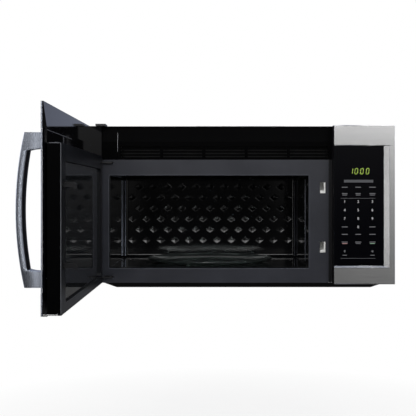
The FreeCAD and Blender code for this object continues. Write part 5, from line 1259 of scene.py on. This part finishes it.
def surroundings(scene):
    """White to the camera and through glass; metal and gloss show a room of dim walls.

    The room is darker below, above and to the left in front of the oven, and takes an
    even blue grey at its sides and behind it.
    """
    world = bpy.data.worlds.new("studio")
    scene.world = world
    world.use_nodes = True
    tree = world.node_tree
    tree.nodes.clear()
    plain = add_node(tree, "Background", {"Color": WHITE, "Strength": 0.5}).outputs[0]
    white = add_node(tree, "Background", {"Color": WHITE, "Strength": 1.0}).outputs[0]
    way = add_node(tree, "TexCoord").outputs["Generated"]
    split = add_node(tree, "SeparateXYZ", {"Vector": way}).outputs
    behind = ranged(tree, split["Y"], (-0.85, -0.35), (0.0, 1.0), "SMOOTHSTEP")
    upward = ranged(tree, split["Z"], (-0.07, 0.12), (0.14, 0.95), "SMOOTHSTEP")
    rightward = ranged(tree, split["X"], (0.05, 0.16), (0.07, 1.0), "SMOOTHSTEP")
    lid = ranged(tree, split["Z"], (0.16, 0.32), (1.0, 0.1))
    front = combined(tree, "MULTIPLY", upward, lid)
    front = combined(tree, "MULTIPLY", front, rightward)
    inputs = {0: behind, 6: front, 7: (0.26, 0.285, 0.37, 1.0)}
    level = add_node(tree, "Mix", inputs, data_type="RGBA").outputs[2]
    room = add_node(tree, "Background", {"Color": level}).outputs[0]
    path = add_node(tree, "LightPath").outputs
    seen = mixed(tree, path["Is Glossy Ray"], plain, room)
    direct = combined(tree, "MAXIMUM", path["Is Camera Ray"], path["Is Transmission Ray"])
    add_node(tree, "OutputWorld", {"Surface": mixed(tree, direct, seen, white)})


def floor_finish():
    """Pale floor with a soft shadow, white to the camera further out and dim in mirrors."""
    finish = Finish("pale_floor")
    tree = finish.tree
    finish.colour(finish.noise(3.0), (0.86, 0.86, 0.86), (0.9, 0.9, 0.9))
    finish.set(Roughness=0.8)
    glow = add_node(tree, "Emission", {"Color": WHITE}).outputs[0]
    dim = add_node(tree, "Emission", {"Color": (0.10, 0.10, 0.10, 1.0)}).outputs[0]
    far = add_node(tree, "VectorMath", {0: finish.place}, operation="LENGTH").outputs["Value"]
    path = add_node(tree, "LightPath").outputs
    fade = ranged(tree, far, (0.9, 1.5), (0.55, 1.0))
    share = combined(tree, "MULTIPLY", path["Is Camera Ray"], fade)
    mirrored = mixed(tree, path["Is Glossy Ray"], finish.shader.outputs[0], dim)
    surface = tree.nodes["Material Output"].inputs["Surface"]
    tree.links.new(mixed(tree, share, mirrored, glow), surface)
    return finish.material


# ---- add-on ----

STEPS = (
    MICROWAVE_OT_stage,
    MICROWAVE_OT_finishes,
    MICROWAVE_OT_bands,
    MICROWAVE_OT_handle,
    MICROWAVE_OT_door_trim,
    MICROWAVE_OT_latch_guides,
    MICROWAVE_OT_vent_edge,
    MICROWAVE_OT_cavity_lip,
    MICROWAVE_OT_cavity_highlights,
    MICROWAVE_OT_cavity_back,
    MICROWAVE_OT_turntable,
    MICROWAVE_OT_clock,
    MICROWAVE_OT_legends,
    MICROWAVE_OT_screws,
)


class MICROWAVE_PT_sidebar(bpy.types.Panel):
    """Lists the steps that dress the oven"""

    bl_idname = "MICROWAVE_PT_sidebar"
    bl_label = "Microwave"
    bl_space_type = "VIEW_3D"
    bl_region_type = "UI"
    bl_category = "Microwave"

    def draw(self, context):
        look = context.scene.microwave_look
        for name in look.bl_rna.properties.keys():
            if name not in ("rna_type", "name"):
                self.layout.prop(look, name)
        for step in STEPS:
            self.layout.operator(step.bl_idname)


def register():
    """Registers the properties, the steps and the panel."""
    for item in (MicrowaveLook, *STEPS, MICROWAVE_PT_sidebar):
        bpy.utils.register_class(item)
    bpy.types.Scene.microwave_look = bpy.props.PointerProperty(type=MicrowaveLook)


def unregister():
    """Removes what register added."""
    del bpy.types.Scene.microwave_look
    for item in (MICROWAVE_PT_sidebar, *reversed(STEPS), MicrowaveLook):
        bpy.utils.unregister_class(item)


def main():
    """Dresses the oven step by step."""
    register()
    for step in STEPS:
        group, name = step.bl_idname.split(".")
        getattr(getattr(bpy.ops, group), name)()


if __name__ == "__main__":
    main()
